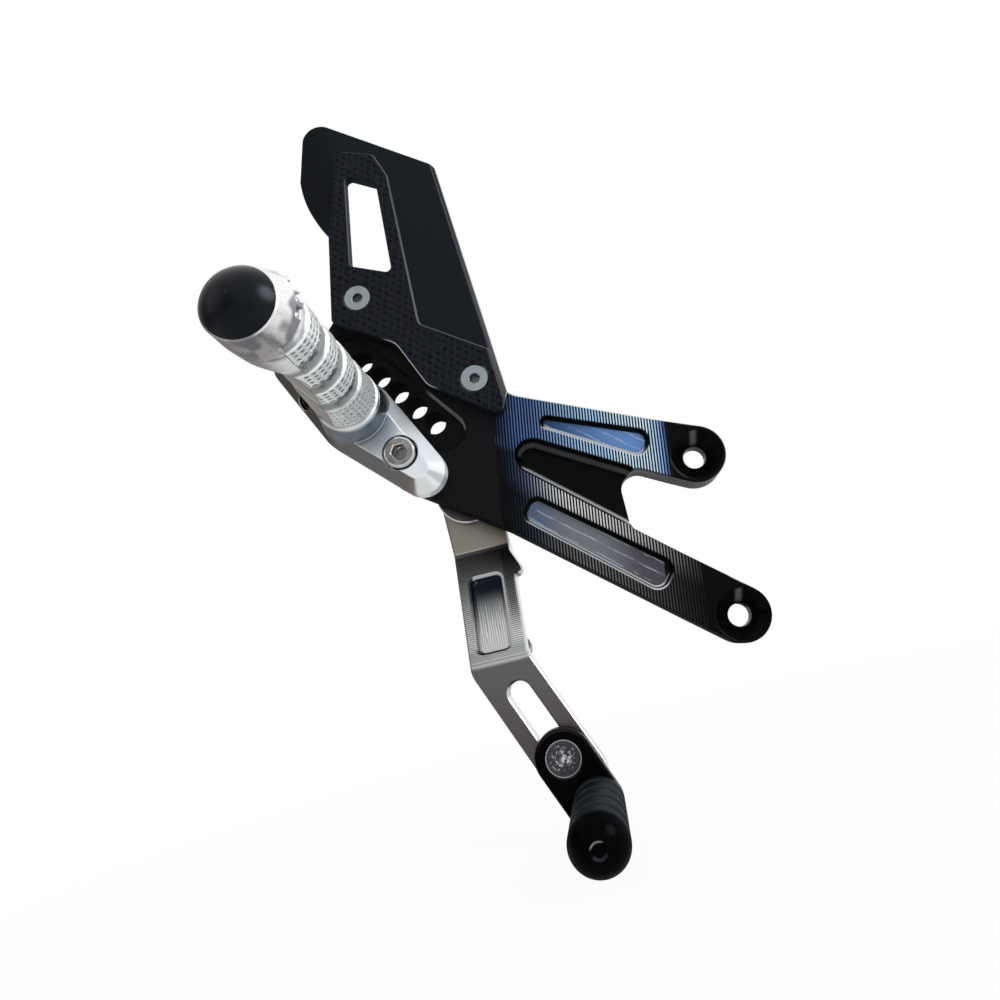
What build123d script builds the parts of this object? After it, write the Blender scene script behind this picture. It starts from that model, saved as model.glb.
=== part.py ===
from build123d import *
import os
from math import atan, cos, radians, sin, sqrt, tan

# Rear set footrest for a motorcycle's right side: a billet bracket with two arms that bolt to
# the frame, an adjustable foot peg, a heel guard and a brake lever with a sliding toe piece.
# Millimetres. The bracket lies in XZ, the rider's side is -Y and the frame's side is +Y.
# The origin is midway between the two frame bolts, on the back face of the arm tips.

# Bracket
bolt_spacing = 68.0
frame_hole_d = 9.4
frame_cone_d = 21.6
upper_tip_radius = 12.2
lower_tip_radius = 11.4
plate_thickness = 15.0
tip_thickness = 13.0
arm_step = 7.0
fold_lean = 8.0
hub_fold = -87.5
tip_fold = -17.0

# Bracket arms, each a tapered bar from a root on the hub to a frame bolt
upper_root = (-84.0, 74.3)
upper_root_radius = 7.8
lower_root = (-76.0, 30.4)
lower_root_radius = 11.8
arm_blend = 10.0
arm_pocket_depth = 2.4
pocket_draft = 24.0
upper_pocket_start = 29.4
upper_pocket_stop = 25.4
upper_pocket_halves = (2.9, 5.9)
upper_pocket_corners = (2.8, 5.4)
lower_pocket_start = 7.4
lower_pocket_stop = 36.6
lower_pocket_halves = (5.8, 6.8)
lower_pocket_corners = (4.4, 5.4)

# Web between the arms
web_end = -33.6
web_corner = 7.0
web_pocket_depth = 8.0
web_pocket_start = (-66.5, 48.5)
web_pocket_radius = 7.6
web_pocket_tail = 5.0
web_draft = 22.0
web_pocket_run = 9.0

# Row of adjusting holes in a shallow slot
adjust_hole_d = 9.2
adjust_pitch = 11.0
adjust_count = 5
adjust_offset = 19.5
adjust_first = -24.2
slot_pocket_width = 16.2
slot_pocket_depth = 2.5
slot_pocket_margin = 7.2
hole_edge = 0.6

# Peg carrier, a tapered oblong with the peg in its middle
peg_axis = (-134.0, 81.0)
carrier_lean = 36.3
carrier_bolt_spacing = 55.0
carrier_end_reach = 37.0
carrier_end_radius = 10.0
carrier_waist_radius = 16.0
carrier_thickness = 12.0
carrier_bevel_width = 5.4
carrier_bevel_depth = 6.5
carrier_side_hole_d = 6.6
carrier_side_hole_depth = 1.8
carrier_boss_foot_d = 30.0
carrier_boss_d = 26.0
carrier_boss_height = 8.0
lower_bolt_pad = 11.0
upper_bolt_pad = 9.0

# Bolts of the carrier, hexagon socket head
carrier_bolt_d = 8.0
cap_head_d = 13.0
cap_head_height = 8.0
cap_socket = 6.0
cap_socket_depth = 4.0
cap_edge = 0.6
counterbore_d = 14.6
counterbore_depth = 6.5
thread_engagement = 11.0
thread_runout = 1.0

# Foot peg, its body set above the carrier's middle
peg_length = 83.0
peg_rise = 1.8
peg_foot_d = 26.0
peg_foot_length = 2.4
peg_body_d = 24.4
peg_groove_depth = 1.4
peg_groove_width = 6.0
peg_groove_pitch = 15.4
peg_groove_count = 4
peg_groove_first = 24.6
peg_groove_lean = 8.0
peg_flange_rise = 2.0
peg_flange_d = 28.0
peg_flange_length = 9.0
peg_end_d = 23.4
peg_keel = 2.0
peg_keel_length = 20.0
peg_flat_turn = 3.2
peg_flat_foot = 10.0
peg_flat_head = 4.9
peg_ramp_start = 44.0
peg_ramp_length = 22.0
flange_notch_count = 6
flange_notch_step = 22.0
flange_notch_width = 3.0
flange_notch_depth = 2.4
flange_notch_height = 2.6

# End plug of the peg
plug_d = 22.8
plug_height = 6.2
plug_spigot_d = 14.0
plug_spigot_length = 8.0

# Bolt and pin that hold the peg on its carrier
peg_bolt_d = 8.0
peg_bolt_head_d = 14.0
peg_bolt_reach = 36.0
peg_pin_d = 4.0
peg_pin_offset = 7.6
peg_pin_length = 12.0

# Heel guard
guard_thickness = 4.6
guard_relief = 0.8
guard_bevel = 2.4
guard_screw_upper = (-124.9, 135.0)
guard_screw_lower = (-82.6, 85.5)
guard_upper_pad = 6.2
guard_lower_pad = 9.0
guard_screw_d = 6.0
guard_head_d = 11.8
guard_socket = 4.0
guard_screw_reach = 12.0
guard_top = (-134.2, 232.0)
guard_top_right = (-79.6, 190.6)
guard_right = (-70.6, 77.0)
guard_toe = (-74.6, 66.6)
guard_step = (-102.6, 87.6)
guard_inner = (-112.4, 109.8)
guard_heel = (-138.0, 126.4)
guard_waist = (-132.4, 168.6)
guard_lobe_side = (-139.4, 184.8)
guard_lobe = (-141.0, 199.0)
guard_top_round = 8.0
guard_corner = 3.0
guard_bend = 9.0
relief_corner = (-101.0, 116.0)
relief_head = (-101.4, 191.0)
relief_brow = (-106.0, 203.6)
relief_crown = (-122.8, 210.0)
relief_fall = 35.5
relief_radius = 4.0
window_top_left = (-120.2, 196.2)
window_top_right = (-107.0, 188.0)
window_bottom_right = (-107.8, 142.8)
window_bottom_left = (-125.4, 151.0)
window_corner = 2.2

# Brake lever
pivot = (-98.5, 43.5)
pivot_pad = 8.5
lever_thickness = 8.5
lever_width = 22.6
lever_head_radius = 13.0
lever_gap = 5.0
lever_reach = 7.0
lever_top_bend = 18.0
lever_low_bend = -31.0
lever_low_x = -96.9
lever_foot_lean = 23.6
lever_foot_length = 50.0
lever_bend_radius = 5.0
lever_side_radius = 12.0
lever_pocket_width = 14.0
lever_pocket_top = 13.5
lever_pocket_bottom = 5.5
lever_pocket_depth = 2.4
lever_pocket_corner = 3.2
lever_ear = (-85.2, 6.2)
lever_ear_radius = 3.1
lever_ear_blend = 1.2
lever_slot_width = 9.0
lever_slot_start = 13.5
lever_slot_end = 46.5

# Pivot of the lever
shoulder_d = 12.0
pivot_thread_d = 8.0
pivot_thread_length = 11.0
pivot_head_d = 18.0
pivot_head_height = 5.0
pivot_socket = 6.0
pivot_socket_depth = 3.0
bush_wall = 1.5
bush_flange_d = 20.0
bush_flange = 1.0
spacer_d = 27.0
pivot_washer_d = 20.0
pivot_washer_thickness = 1.5

# Spring post on the back of the lever
post_offset = (7.0, 13.0)
post_d = 6.0
post_thread_d = 5.0
post_length = 5.0
post_head_d = 10.0
post_head_height = 2.6
post_thread_length = 5.5

# Toe piece
toe_place = 41.4
toe_peg_reach = 19.2
toe_peg_side = 1.5
toe_arm_thickness = 7.0
toe_boss_radius = 10.6
toe_end_radius = 10.4
toe_edge = 0.8
toe_peg_d = 18.2
toe_peg_length = 54.0
toe_peg_grooves = 4
toe_peg_groove_first = 9.0
toe_peg_groove_pitch = 12.0
toe_peg_groove = 2.6
toe_peg_groove_depth = 0.9
toe_peg_dome = 7.0
toe_dimple_d = 4.4
toe_dimple_depth = 1.0
toe_screw_d = 8.0
toe_head_d = 13.6
toe_socket = 5.0
toe_nut_width = 13.0
toe_nut_thickness = 6.5
toe_screw_tail = 1.0
toe_washer_thickness = 1.2
toe_washer_d = 18.0
toe_bolt_d = 6.0
toe_bolt_head_d = 11.0
toe_bolt_head_height = 3.0
toe_bolt_reach = 22.0
toe_bolt_socket_depth = 1.8

# Share of a countersunk head's height that its socket takes
socket_share = 0.8

# Fits
bolt_clearance = 0.2
press_clearance = 0.02
running_clearance = 0.05
seat_gap = 0.05

# Levels along Y
tip_front = -tip_thickness
hub_front = tip_front - arm_step
hub_back = hub_front + plate_thickness
guard_front = hub_front - guard_thickness
carrier_front = hub_front - carrier_thickness
peg_foot = carrier_front - carrier_boss_height
peg_end = peg_foot - peg_length
lever_top_front = hub_back + lever_gap
lever_low_front = hub_front - lever_reach
toe_front = lever_low_front - toe_arm_thickness

# A round stands on its plane or hangs below it
standing = (Align.CENTER, Align.CENTER, Align.MIN)
hanging = (Align.CENTER, Align.CENTER, Align.MAX)

os.makedirs("parts", exist_ok=True)


def facing(y):
    """Plane at depth y that looks out to the rider's side, with X right and Z up."""
    return Plane.XZ.offset(-y)


def outward(point, y):
    """Plane at one point of the bracket that looks out to the rider's side."""
    return Plane(origin=(point[0], y, point[1]), x_dir=(1, 0, 0), z_dir=(0, -1, 0))


def inward(point, y):
    """Plane at one point of the bracket that looks in to the frame's side."""
    return Plane(origin=(point[0], y, point[1]), x_dir=(1, 0, 0), z_dir=(0, 1, 0))


def between(start, end, distance):
    """Point on the line from start to end, at a distance from start."""
    span = sqrt((end[0] - start[0]) ** 2 + (end[1] - start[1]) ** 2)
    share = distance / span
    return (start[0] + (end[0] - start[0]) * share, start[1] + (end[1] - start[1]) * share)


def at_x(start, end, x):
    """Point with a given x on the line from start to end."""
    return (x, start[1] + (end[1] - start[1]) * (x - start[0]) / (end[0] - start[0]))


def at_z(start, end, z):
    """Point with a given z on the line from start to end."""
    return (start[0] + (end[0] - start[0]) * (z - start[1]) / (end[1] - start[1]), z)


def length_of(start, end):
    """Distance between two points."""
    return sqrt((end[0] - start[0]) ** 2 + (end[1] - start[1]) ** 2)


def save(builder, name):
    """Labels a finished piece and writes its STEP file."""
    builder.part.label = name
    export_step(builder.part, f"parts/{name}.step")


def countersunk_screw(place, thread_d, head_d, reach, socket):
    """Flat countersunk screw with a hexagon socket, its head flush with the given plane."""
    head_height = (head_d - thread_d) / 2
    with BuildPart(place) as screw:
        with BuildSketch(place):
            Circle(head_d / 2)
        extrude(amount=-head_height, taper=45)
        Cylinder(thread_d / 2, reach, align=hanging)
        with BuildSketch(place):
            RegularPolygon(socket / sqrt(3), 6)
        extrude(amount=-head_height * socket_share, mode=Mode.SUBTRACT)
    return screw


# Carrier frame: x runs up along the carrier, y towards the ground side of the peg
lean = radians(carrier_lean)
along = (-sin(lean), cos(lean))
ground = (-cos(lean), -sin(lean))


def carrier_place(x, y):
    """Point of the bracket from carrier coordinates."""
    return (
        peg_axis[0] + x * along[0] + y * ground[0],
        peg_axis[1] + x * along[1] + y * ground[1],
    )


def carrier_plane(y_level):
    """Plane at a depth, centred on the peg, with x along the carrier."""
    return Plane(
        origin=(peg_axis[0], y_level, peg_axis[1]),
        x_dir=(along[0], 0, along[1]),
        z_dir=(0, -1, 0),
    )


carrier_bolts = [carrier_place(carrier_bolt_spacing / 2, 0), carrier_place(-carrier_bolt_spacing / 2, 0)]
upper_tip = (0.0, bolt_spacing / 2)
lower_tip = (0.0, -bolt_spacing / 2)

# Sloping face of the arms between the two fold lines
fold = radians(fold_lean)
across = (cos(fold), -sin(fold))
slope = atan(arm_step / (tip_fold - hub_fold))
slope_plane = Plane(
    origin=(hub_fold * across[0], hub_front, hub_fold * across[1]),
    x_dir=(cos(slope) * across[0], sin(slope), cos(slope) * across[1]),
    z_dir=(sin(slope) * across[0], -cos(slope), sin(slope) * across[1]),
)


def on_slope(point):
    """Coordinates on the sloping face of a point of the bracket."""
    u = point[0] * across[0] + point[1] * across[1]
    v = point[0] * sin(fold) + point[1] * cos(fold)
    return ((u - hub_fold) / cos(slope), v)


def arm_pocket(root, tip, start, stop, halves, corners):
    """Corner rounds of a tapered pocket that lies along an arm, as points and radii."""
    span = length_of(root, tip)
    side = ((root[1] - tip[1]) / span, (tip[0] - root[0]) / span)
    rounds = []
    for distance, half, corner in ((start, halves[0], corners[0]), (span - stop, halves[1], corners[1])):
        middle = between(root, tip, distance)
        for sign in (1, -1):
            shift = sign * (half - corner)
            rounds.append(((middle[0] + shift * side[0], middle[1] + shift * side[1]), corner))
    return rounds


def beside_arm(root, root_radius, tip, tip_radius, x, side, gap):
    """Point a gap away from an arm's edge, level with the arm's axis at x."""
    span = length_of(root, tip)
    middle = at_x(root, tip, x)
    half = root_radius + (tip_radius - root_radius) * length_of(root, middle) / span
    reach = side * (half + gap)
    return (middle[0] + reach * (root[1] - tip[1]) / span, middle[1] + reach * (tip[0] - root[0]) / span)


# Main plate: hub and arms milled from one billet, with folds, pockets, web and bores
hub_pads = [
    (guard_screw_upper, guard_upper_pad),
    (guard_screw_lower, guard_lower_pad),
    (carrier_bolts[0], upper_bolt_pad),
    (carrier_bolts[1], lower_bolt_pad),
    (pivot, pivot_pad),
    (lower_root, lower_root_radius),
    (upper_root, upper_root_radius),
]
web_corners = [
    upper_root,
    lower_root,
    at_x(lower_root, lower_tip, web_end),
    at_x(upper_root, upper_tip, web_end),
]
web_tail_x = web_end + web_pocket_run
upper_arm = (upper_root, upper_root_radius, upper_tip, upper_tip_radius)
lower_arm = (lower_root, lower_root_radius, lower_tip, lower_tip_radius)
web_rounds = [
    (web_pocket_start, web_pocket_radius),
    (beside_arm(*upper_arm, web_tail_x, -1, web_pocket_tail), web_pocket_tail),
    (beside_arm(*lower_arm, web_tail_x, 1, web_pocket_tail), web_pocket_tail),
]
upper_rounds = arm_pocket(
    upper_root,
    upper_tip,
    upper_pocket_start,
    upper_pocket_stop,
    upper_pocket_halves,
    upper_pocket_corners,
)
lower_rounds = arm_pocket(
    lower_root,
    lower_tip,
    lower_pocket_start,
    lower_pocket_stop,
    lower_pocket_halves,
    lower_pocket_corners,
)
sunk_pockets = (
    (upper_rounds, arm_pocket_depth, pocket_draft),
    (lower_rounds, arm_pocket_depth, pocket_draft),
    (web_rounds, web_pocket_depth, web_draft),
)
fold_plane = Plane(origin=(0, 0, 0), x_dir=(across[0], 0, across[1]), z_dir=(sin(fold), 0, cos(fold)))
plate_reach = 3 * length_of(upper_tip, guard_screw_upper)
adjust_holes = [(adjust_first + i * adjust_pitch, -adjust_offset) for i in range(adjust_count)]
slot_length = (adjust_count - 1) * adjust_pitch + 2 * slot_pocket_margin
slot_middle = adjust_first + (adjust_count - 1) * adjust_pitch / 2

with BuildPart() as main_plate:
    with BuildSketch(Plane.XZ):
        for pad, radius in hub_pads:
            with Locations(pad):
                Circle(radius)
        make_hull()
    extrude(amount=-hub_front)
    for root, root_radius, tip, tip_radius in (upper_arm, lower_arm):
        with BuildSketch(Plane.XZ):
            with Locations(tip):
                Circle(tip_radius)
            with Locations(root):
                Circle(root_radius)
            make_hull()
        extrude(amount=-hub_front)
    with BuildSketch(Plane.XZ):
        with BuildLine():
            Polyline(*web_corners, close=True)
        make_face()
    extrude(amount=-hub_front)
    # The hollow corners of the outline get the cutter's radius
    depth_edges = main_plate.edges().filter_by(Axis.Y)
    flank = (guard_screw_lower[0] + guard_lower_pad, hub_front / 2, upper_root[1])
    fillet(depth_edges.sort_by_distance(flank)[0], arm_blend)
    scallop = (web_end, hub_front / 2, upper_tip[1])
    fillet(main_plate.edges().filter_by(Axis.Y).sort_by_distance(scallop)[0], web_corner)
    # Hub, sloping arms and tips follow one stepped profile
    with BuildSketch(fold_plane):
        with BuildLine():
            Polyline(
                (-plate_reach, hub_front),
                (hub_fold, hub_front),
                (tip_fold, tip_front),
                (plate_reach, tip_front),
                (plate_reach, 0),
                (tip_fold, 0),
                (hub_fold, hub_back),
                (-plate_reach, hub_back),
                close=True,
            )
        make_face()
    extrude(amount=plate_reach, both=True, mode=Mode.INTERSECT)
    # Pockets of the arms and the web
    for rounds, depth, draft in sunk_pockets:
        with BuildSketch(slope_plane):
            for point, radius in rounds:
                with Locations(on_slope(point)):
                    Circle(radius)
            make_hull()
        extrude(amount=-depth, taper=draft, mode=Mode.SUBTRACT)
    # Frame bolt holes with deep cones
    with Locations(outward(upper_tip, tip_front), outward(lower_tip, tip_front)):
        CounterSinkHole(frame_hole_d / 2, frame_cone_d / 2, counter_sink_angle=90)
    # Adjusting holes in their slot
    with BuildSketch(carrier_plane(hub_front)):
        with Locations((slot_middle, -adjust_offset)):
            SlotCenterToCenter(slot_length, slot_pocket_width)
    extrude(amount=-slot_pocket_depth, mode=Mode.SUBTRACT)
    with BuildSketch(carrier_plane(hub_front)):
        with Locations(*adjust_holes):
            Circle(adjust_hole_d / 2)
    extrude(amount=-plate_thickness, mode=Mode.SUBTRACT)
    with BuildSketch(carrier_plane(hub_front + slot_pocket_depth)):
        with Locations(*adjust_holes):
            Circle(adjust_hole_d / 2 + hole_edge)
    extrude(amount=-hole_edge, taper=45, mode=Mode.SUBTRACT)
    # Screw holes of the carrier, the guard and the lever's pivot
    with BuildSketch(facing(hub_front)):
        with Locations(*carrier_bolts):
            Circle((carrier_bolt_d + bolt_clearance) / 2)
        with Locations(guard_screw_upper, guard_screw_lower):
            Circle((guard_screw_d + bolt_clearance) / 2)
    extrude(amount=-plate_thickness, mode=Mode.SUBTRACT)
    with BuildSketch(inward(pivot, hub_back)):
        Circle((pivot_thread_d + bolt_clearance) / 2)
    extrude(amount=-pivot_thread_length - bolt_clearance, mode=Mode.SUBTRACT)
save(main_plate, "main_plate")


# Peg carrier: tapered oblong with bevelled rim, two counterbores and the peg's boss
with BuildPart() as peg_carrier:
    with BuildSketch(carrier_plane(hub_front)):
        Circle(carrier_waist_radius)
        with Locations((carrier_end_reach, 0), (-carrier_end_reach, 0)):
            Circle(carrier_end_radius)
        make_hull()
    extrude(amount=carrier_thickness)
    rim = peg_carrier.faces().sort_by(Axis.Y)[0]
    chamfer(rim.edges(), length=carrier_bevel_width, length2=carrier_bevel_depth, reference=rim)
    # Blind hole in the middle of the upper bevel on the ground side
    beside_bevel = carrier_place(carrier_end_reach / 2, carrier_waist_radius)
    bevel = peg_carrier.faces().sort_by_distance((beside_bevel[0], carrier_front, beside_bevel[1]))[0]
    with BuildSketch(Plane(bevel)):
        Circle(carrier_side_hole_d / 2)
    extrude(amount=-carrier_side_hole_depth, mode=Mode.SUBTRACT)
    # Conical boss, its top under the peg's body
    with BuildSketch(carrier_plane(carrier_front + carrier_bevel_depth)):
        Circle(carrier_boss_foot_d / 2)
    with BuildSketch(carrier_plane(peg_foot)):
        with Locations((0, -peg_rise)):
            Circle(carrier_boss_d / 2)
    loft()
    with Locations(*[outward(bolt, carrier_front) for bolt in carrier_bolts]):
        CounterBoreHole((carrier_bolt_d + bolt_clearance) / 2, counterbore_d / 2, counterbore_depth)
    with Locations(inward(peg_axis, hub_front)):
        CounterSinkHole((peg_bolt_d + bolt_clearance) / 2, (peg_bolt_head_d + bolt_clearance) / 2)
    with BuildSketch(carrier_plane(peg_foot)):
        with Locations((peg_pin_offset, 0)):
            Circle((peg_pin_d + press_clearance) / 2)
    extrude(amount=-peg_pin_length / 2, mode=Mode.SUBTRACT)
save(peg_carrier, "peg_carrier")

head_seat = carrier_front + counterbore_depth
carrier_bolt_reach = carrier_thickness - counterbore_depth + thread_engagement
for bolt, name in zip(carrier_bolts, ("carrier_bolt_upper", "carrier_bolt_lower")):
    with BuildPart(outward(bolt, head_seat)) as carrier_bolt:
        Cylinder(cap_head_d / 2, cap_head_height, align=standing)
        Cylinder(carrier_bolt_d / 2, carrier_bolt_reach, align=hanging)
        chamfer(carrier_bolt.edges().group_by(Axis.Y)[0], cap_edge)
        with BuildSketch(outward(bolt, head_seat - cap_head_height)):
            RegularPolygon(cap_socket / sqrt(3), 6)
        extrude(amount=-cap_socket_depth, mode=Mode.SUBTRACT)
    save(carrier_bolt, name)


# Foot peg: turned bar with leaning grooves, a flat ground side and a notched end flange
rider = (0, -1, 0)
peg_centre = carrier_place(0, -peg_rise)
peg_line = Axis((peg_centre[0], peg_foot, peg_centre[1]), rider)


def peg_section(height, lean_angle):
    """Lengthwise plane through the body's axis at a height, turned by a lean, with y along the peg."""
    c = cos(radians(lean_angle))
    s = sin(radians(lean_angle))
    return Plane(
        origin=(peg_centre[0], peg_foot - height, peg_centre[1]),
        x_dir=(-c * ground[0], s, -c * ground[1]),
        z_dir=(-ground[1], 0, ground[0]),
    )


flat_lean = radians(carrier_lean + peg_flat_turn)
ground_section = Plane(
    origin=(peg_axis[0], peg_foot, peg_axis[1]),
    x_dir=(-cos(flat_lean), 0, -sin(flat_lean)),
    z_dir=(-sin(flat_lean), 0, cos(flat_lean)),
)
flange_foot = peg_length - peg_flange_length
cut_reach = peg_flange_d

# Keel that braces the flange on the ground side
with BuildPart() as keel:
    with BuildSketch(carrier_plane(peg_foot - flange_foot)):
        with Locations((0, -peg_flange_rise)):
            Circle(peg_flange_d / 2)
    with BuildSketch(carrier_plane(peg_foot - flange_foot + peg_keel_length)):
        with Locations((0, -peg_rise)):
            Circle(peg_body_d / 2)
    loft()
    with BuildSketch(carrier_plane(peg_foot - flange_foot)):
        with Locations((0, peg_keel - cut_reach)):
            Rectangle(2 * cut_reach, 2 * cut_reach)
    extrude(amount=-peg_keel_length, mode=Mode.SUBTRACT)

with BuildPart() as foot_peg:
    with BuildSketch(peg_section(0, 0)):
        with BuildLine():
            Polyline(
                (0, 0),
                (peg_foot_d / 2, 0),
                (peg_foot_d / 2, peg_foot_length),
                (peg_body_d / 2, peg_foot_length),
                (peg_body_d / 2, flange_foot),
                (0, flange_foot),
                close=True,
            )
        make_face()
    revolve(axis=peg_line)
    groove_radius = (peg_groove_width ** 2 / 4 + peg_groove_depth ** 2) / (2 * peg_groove_depth)
    for i in range(peg_groove_count):
        height = peg_groove_first + i * peg_groove_pitch
        groove = peg_section(height, peg_groove_lean)
        with BuildSketch(groove):
            with Locations((peg_body_d / 2 - peg_groove_depth + groove_radius, 0)):
                Circle(groove_radius)
        revolve(axis=Axis(groove.origin, groove.y_dir), mode=Mode.SUBTRACT)
    # Skewed end flange, low at the end face and high towards the foot
    with BuildSketch(carrier_plane(peg_foot - flange_foot)):
        with Locations((0, -peg_flange_rise)):
            Circle(peg_flange_d / 2)
    with BuildSketch(carrier_plane(peg_end)):
        Circle(peg_end_d / 2)
    loft()
    add(keel.part)
    # Flat on the ground side, with a curved ramp out to the keel
    keel_depth = peg_flange_d / 2 - peg_flange_rise
    with BuildSketch(ground_section):
        with BuildLine():
            ramp_foot = (peg_flat_head, peg_ramp_start)
            ramp_top = (keel_depth, peg_ramp_start + peg_ramp_length)
            Polyline(ramp_top, (cut_reach, peg_ramp_start + peg_ramp_length), (cut_reach, peg_foot_length))
            Polyline((cut_reach, peg_foot_length), (peg_flat_foot, peg_foot_length), ramp_foot)
            TangentArc(ramp_foot, ramp_top, tangent=(0, 1))
        make_face()
    extrude(amount=cut_reach, both=True, mode=Mode.SUBTRACT)
    # Notches in the back edge of the flange, on the foot's side
    notch_spread = flange_notch_step * (flange_notch_count - 1)
    with BuildSketch(carrier_plane(peg_foot - flange_foot)):
        with Locations((0, -peg_flange_rise)):
            with PolarLocations(
                peg_flange_d / 2,
                flange_notch_count,
                start_angle=-90 - notch_spread / 2,
                angular_range=notch_spread,
                endpoint=True,
            ):
                Rectangle(2 * flange_notch_height, flange_notch_width)
    extrude(amount=flange_notch_depth, mode=Mode.SUBTRACT)
    # Threaded bore for the fixing bolt, bore for the end plug and hole for the pin
    with BuildSketch(carrier_plane(peg_foot)):
        Circle((peg_bolt_d + bolt_clearance) / 2)
    extrude(amount=peg_bolt_reach - (hub_front - peg_foot) + thread_runout, mode=Mode.SUBTRACT)
    with BuildSketch(carrier_plane(peg_end)):
        Circle((plug_spigot_d + press_clearance) / 2)
    extrude(amount=-plug_spigot_length, mode=Mode.SUBTRACT)
    with BuildSketch(carrier_plane(peg_foot)):
        with Locations((peg_pin_offset, 0)):
            Circle((peg_pin_d + press_clearance) / 2)
    extrude(amount=peg_pin_length / 2, mode=Mode.SUBTRACT)
save(foot_peg, "foot_peg")

with BuildPart() as peg_end_plug:
    with BuildSketch(ground_section):
        with BuildLine():
            dome_radius = (plug_d ** 2 / 4 + plug_height ** 2) / (2 * plug_height)
            plug_foot = peg_length - plug_spigot_length
            Polyline((0, peg_length + plug_height), (0, plug_foot), (plug_spigot_d / 2, plug_foot))
            Polyline((plug_spigot_d / 2, plug_foot), (plug_spigot_d / 2, peg_length))
            Line((plug_spigot_d / 2, peg_length), (plug_d / 2, peg_length))
            RadiusArc((plug_d / 2, peg_length), (0, peg_length + plug_height), -dome_radius)
        make_face()
    revolve(axis=Axis(ground_section.origin, rider))
save(peg_end_plug, "peg_end_plug")

peg_bolt = countersunk_screw(
    inward(peg_axis, hub_front), peg_bolt_d, peg_bolt_head_d, peg_bolt_reach, cap_socket
)
save(peg_bolt, "peg_bolt")

with BuildPart(carrier_plane(peg_foot)) as peg_pin:
    with Locations((peg_pin_offset, 0, 0)):
        Cylinder(peg_pin_d / 2, peg_pin_length)
save(peg_pin, "peg_pin")


# Heel guard: flat plate with a window and a sunk smooth field beside the textured one
with BuildPart() as heel_guard:
    with BuildSketch(facing(hub_front)):
        with BuildLine():
            ThreePointArc(guard_waist, guard_lobe_side, guard_lobe)
            Polyline(
                guard_lobe,
                guard_top,
                guard_top_right,
                guard_right,
                guard_toe,
                guard_step,
                guard_inner,
                guard_heel,
                guard_waist,
            )
        make_face()
    extrude(amount=guard_thickness)
    for point, radius in (
        (guard_top, guard_top_round),
        (guard_top_right, guard_corner),
        (guard_right, guard_corner),
        (guard_toe, guard_corner),
        (guard_step, guard_bend),
        (guard_inner, guard_bend),
        (guard_heel, guard_corner),
    ):
        near = heel_guard.edges().filter_by(Axis.Y).sort_by_distance((point[0], hub_front, point[1]))[0]
        fillet(near, radius)
    # Smooth field, open to the left, top and right edges
    fall = tan(radians(relief_fall))
    field_right = guard_right[0] + guard_bend
    field_left = guard_lobe[0] - guard_bend
    field_top = guard_top[1] + guard_bend
    with BuildSketch(facing(guard_front)):
        with BuildLine():
            FilletPolyline(
                (field_right, relief_corner[1] - (field_right - relief_corner[0]) * fall),
                relief_corner,
                relief_head,
                relief_brow,
                relief_crown,
                guard_waist,
                (field_left, guard_waist[1]),
                radius=relief_radius,
            )
            Polyline(
                (field_left, guard_waist[1]),
                (field_left, field_top),
                (field_right, field_top),
                (field_right, relief_corner[1] - (field_right - relief_corner[0]) * fall),
            )
        make_face()
    extrude(amount=-guard_relief, mode=Mode.SUBTRACT)
    # Bevel along the right edge
    right_run = length_of(guard_top_right, guard_right)
    right_way = [(low - top) / right_run for low, top in zip(guard_right, guard_top_right)]
    right_section = Plane(
        origin=(guard_top_right[0], guard_front, guard_top_right[1]),
        x_dir=(-right_way[1], 0, right_way[0]),
        z_dir=(right_way[0], 0, right_way[1]),
    )
    with BuildSketch(right_section):
        with BuildLine():
            Polyline(
                (-2 * guard_bevel, guard_bevel),
                (guard_bevel, -2 * guard_bevel),
                (guard_bevel, guard_bevel),
                close=True,
            )
        make_face()
    extrude(amount=right_run + guard_bend, both=True, mode=Mode.SUBTRACT)
    with BuildSketch(facing(guard_front)):
        with BuildLine():
            FilletPolyline(
                window_top_left,
                window_top_right,
                window_bottom_right,
                window_bottom_left,
                radius=window_corner,
                close=True,
            )
        make_face()
    extrude(amount=-guard_thickness, mode=Mode.SUBTRACT)
    with Locations(outward(guard_screw_upper, guard_front), outward(guard_screw_lower, guard_front)):
        CounterSinkHole(
            (guard_screw_d + bolt_clearance) / 2, (guard_head_d + bolt_clearance) / 2, counter_sink_angle=90
        )
save(heel_guard, "heel_guard")

for point, name in (
    (guard_screw_upper, "guard_screw_upper"),
    (guard_screw_lower, "guard_screw_lower"),
):
    guard_screw = countersunk_screw(
        outward(point, guard_front), guard_screw_d, guard_head_d, guard_screw_reach, guard_socket
    )
    save(guard_screw, name)


# Brake lever: milled bar that steps forward through one inclined stretch
incline = atan((lever_top_front - lever_low_front) / (lever_top_bend - lever_low_bend))
back_shift = lever_thickness * tan(incline / 2)
incline_length = (lever_top_bend - lever_low_bend) / cos(incline)
low_point = (lever_low_x, lever_low_bend)
foot_way = (sin(radians(lever_foot_lean)), -cos(radians(lever_foot_lean)))
foot_end = (low_point[0] + lever_foot_length * foot_way[0], low_point[1] + lever_foot_length * foot_way[1])
lever_top = pivot[1] + 2 * lever_head_radius
lever_bottom = foot_end[1] - lever_width
half_width = lever_width / 2
neck_point = at_z(pivot, low_point, lever_top_bend)
incline_plane = Plane(
    origin=(neck_point[0], lever_top_front, lever_top_bend),
    x_dir=(1, 0, 0),
    z_dir=(0, -cos(incline), sin(incline)),
)
foot_plane = Plane(
    origin=(low_point[0], lever_low_front, low_point[1]),
    x_dir=(foot_way[0], 0, foot_way[1]),
    z_dir=(0, -1, 0),
)
bush_bore_d = shoulder_d + 2 * bush_wall
post_place = (lever_low_x + post_offset[0] - neck_point[0], post_offset[1] - incline_length)
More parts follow.
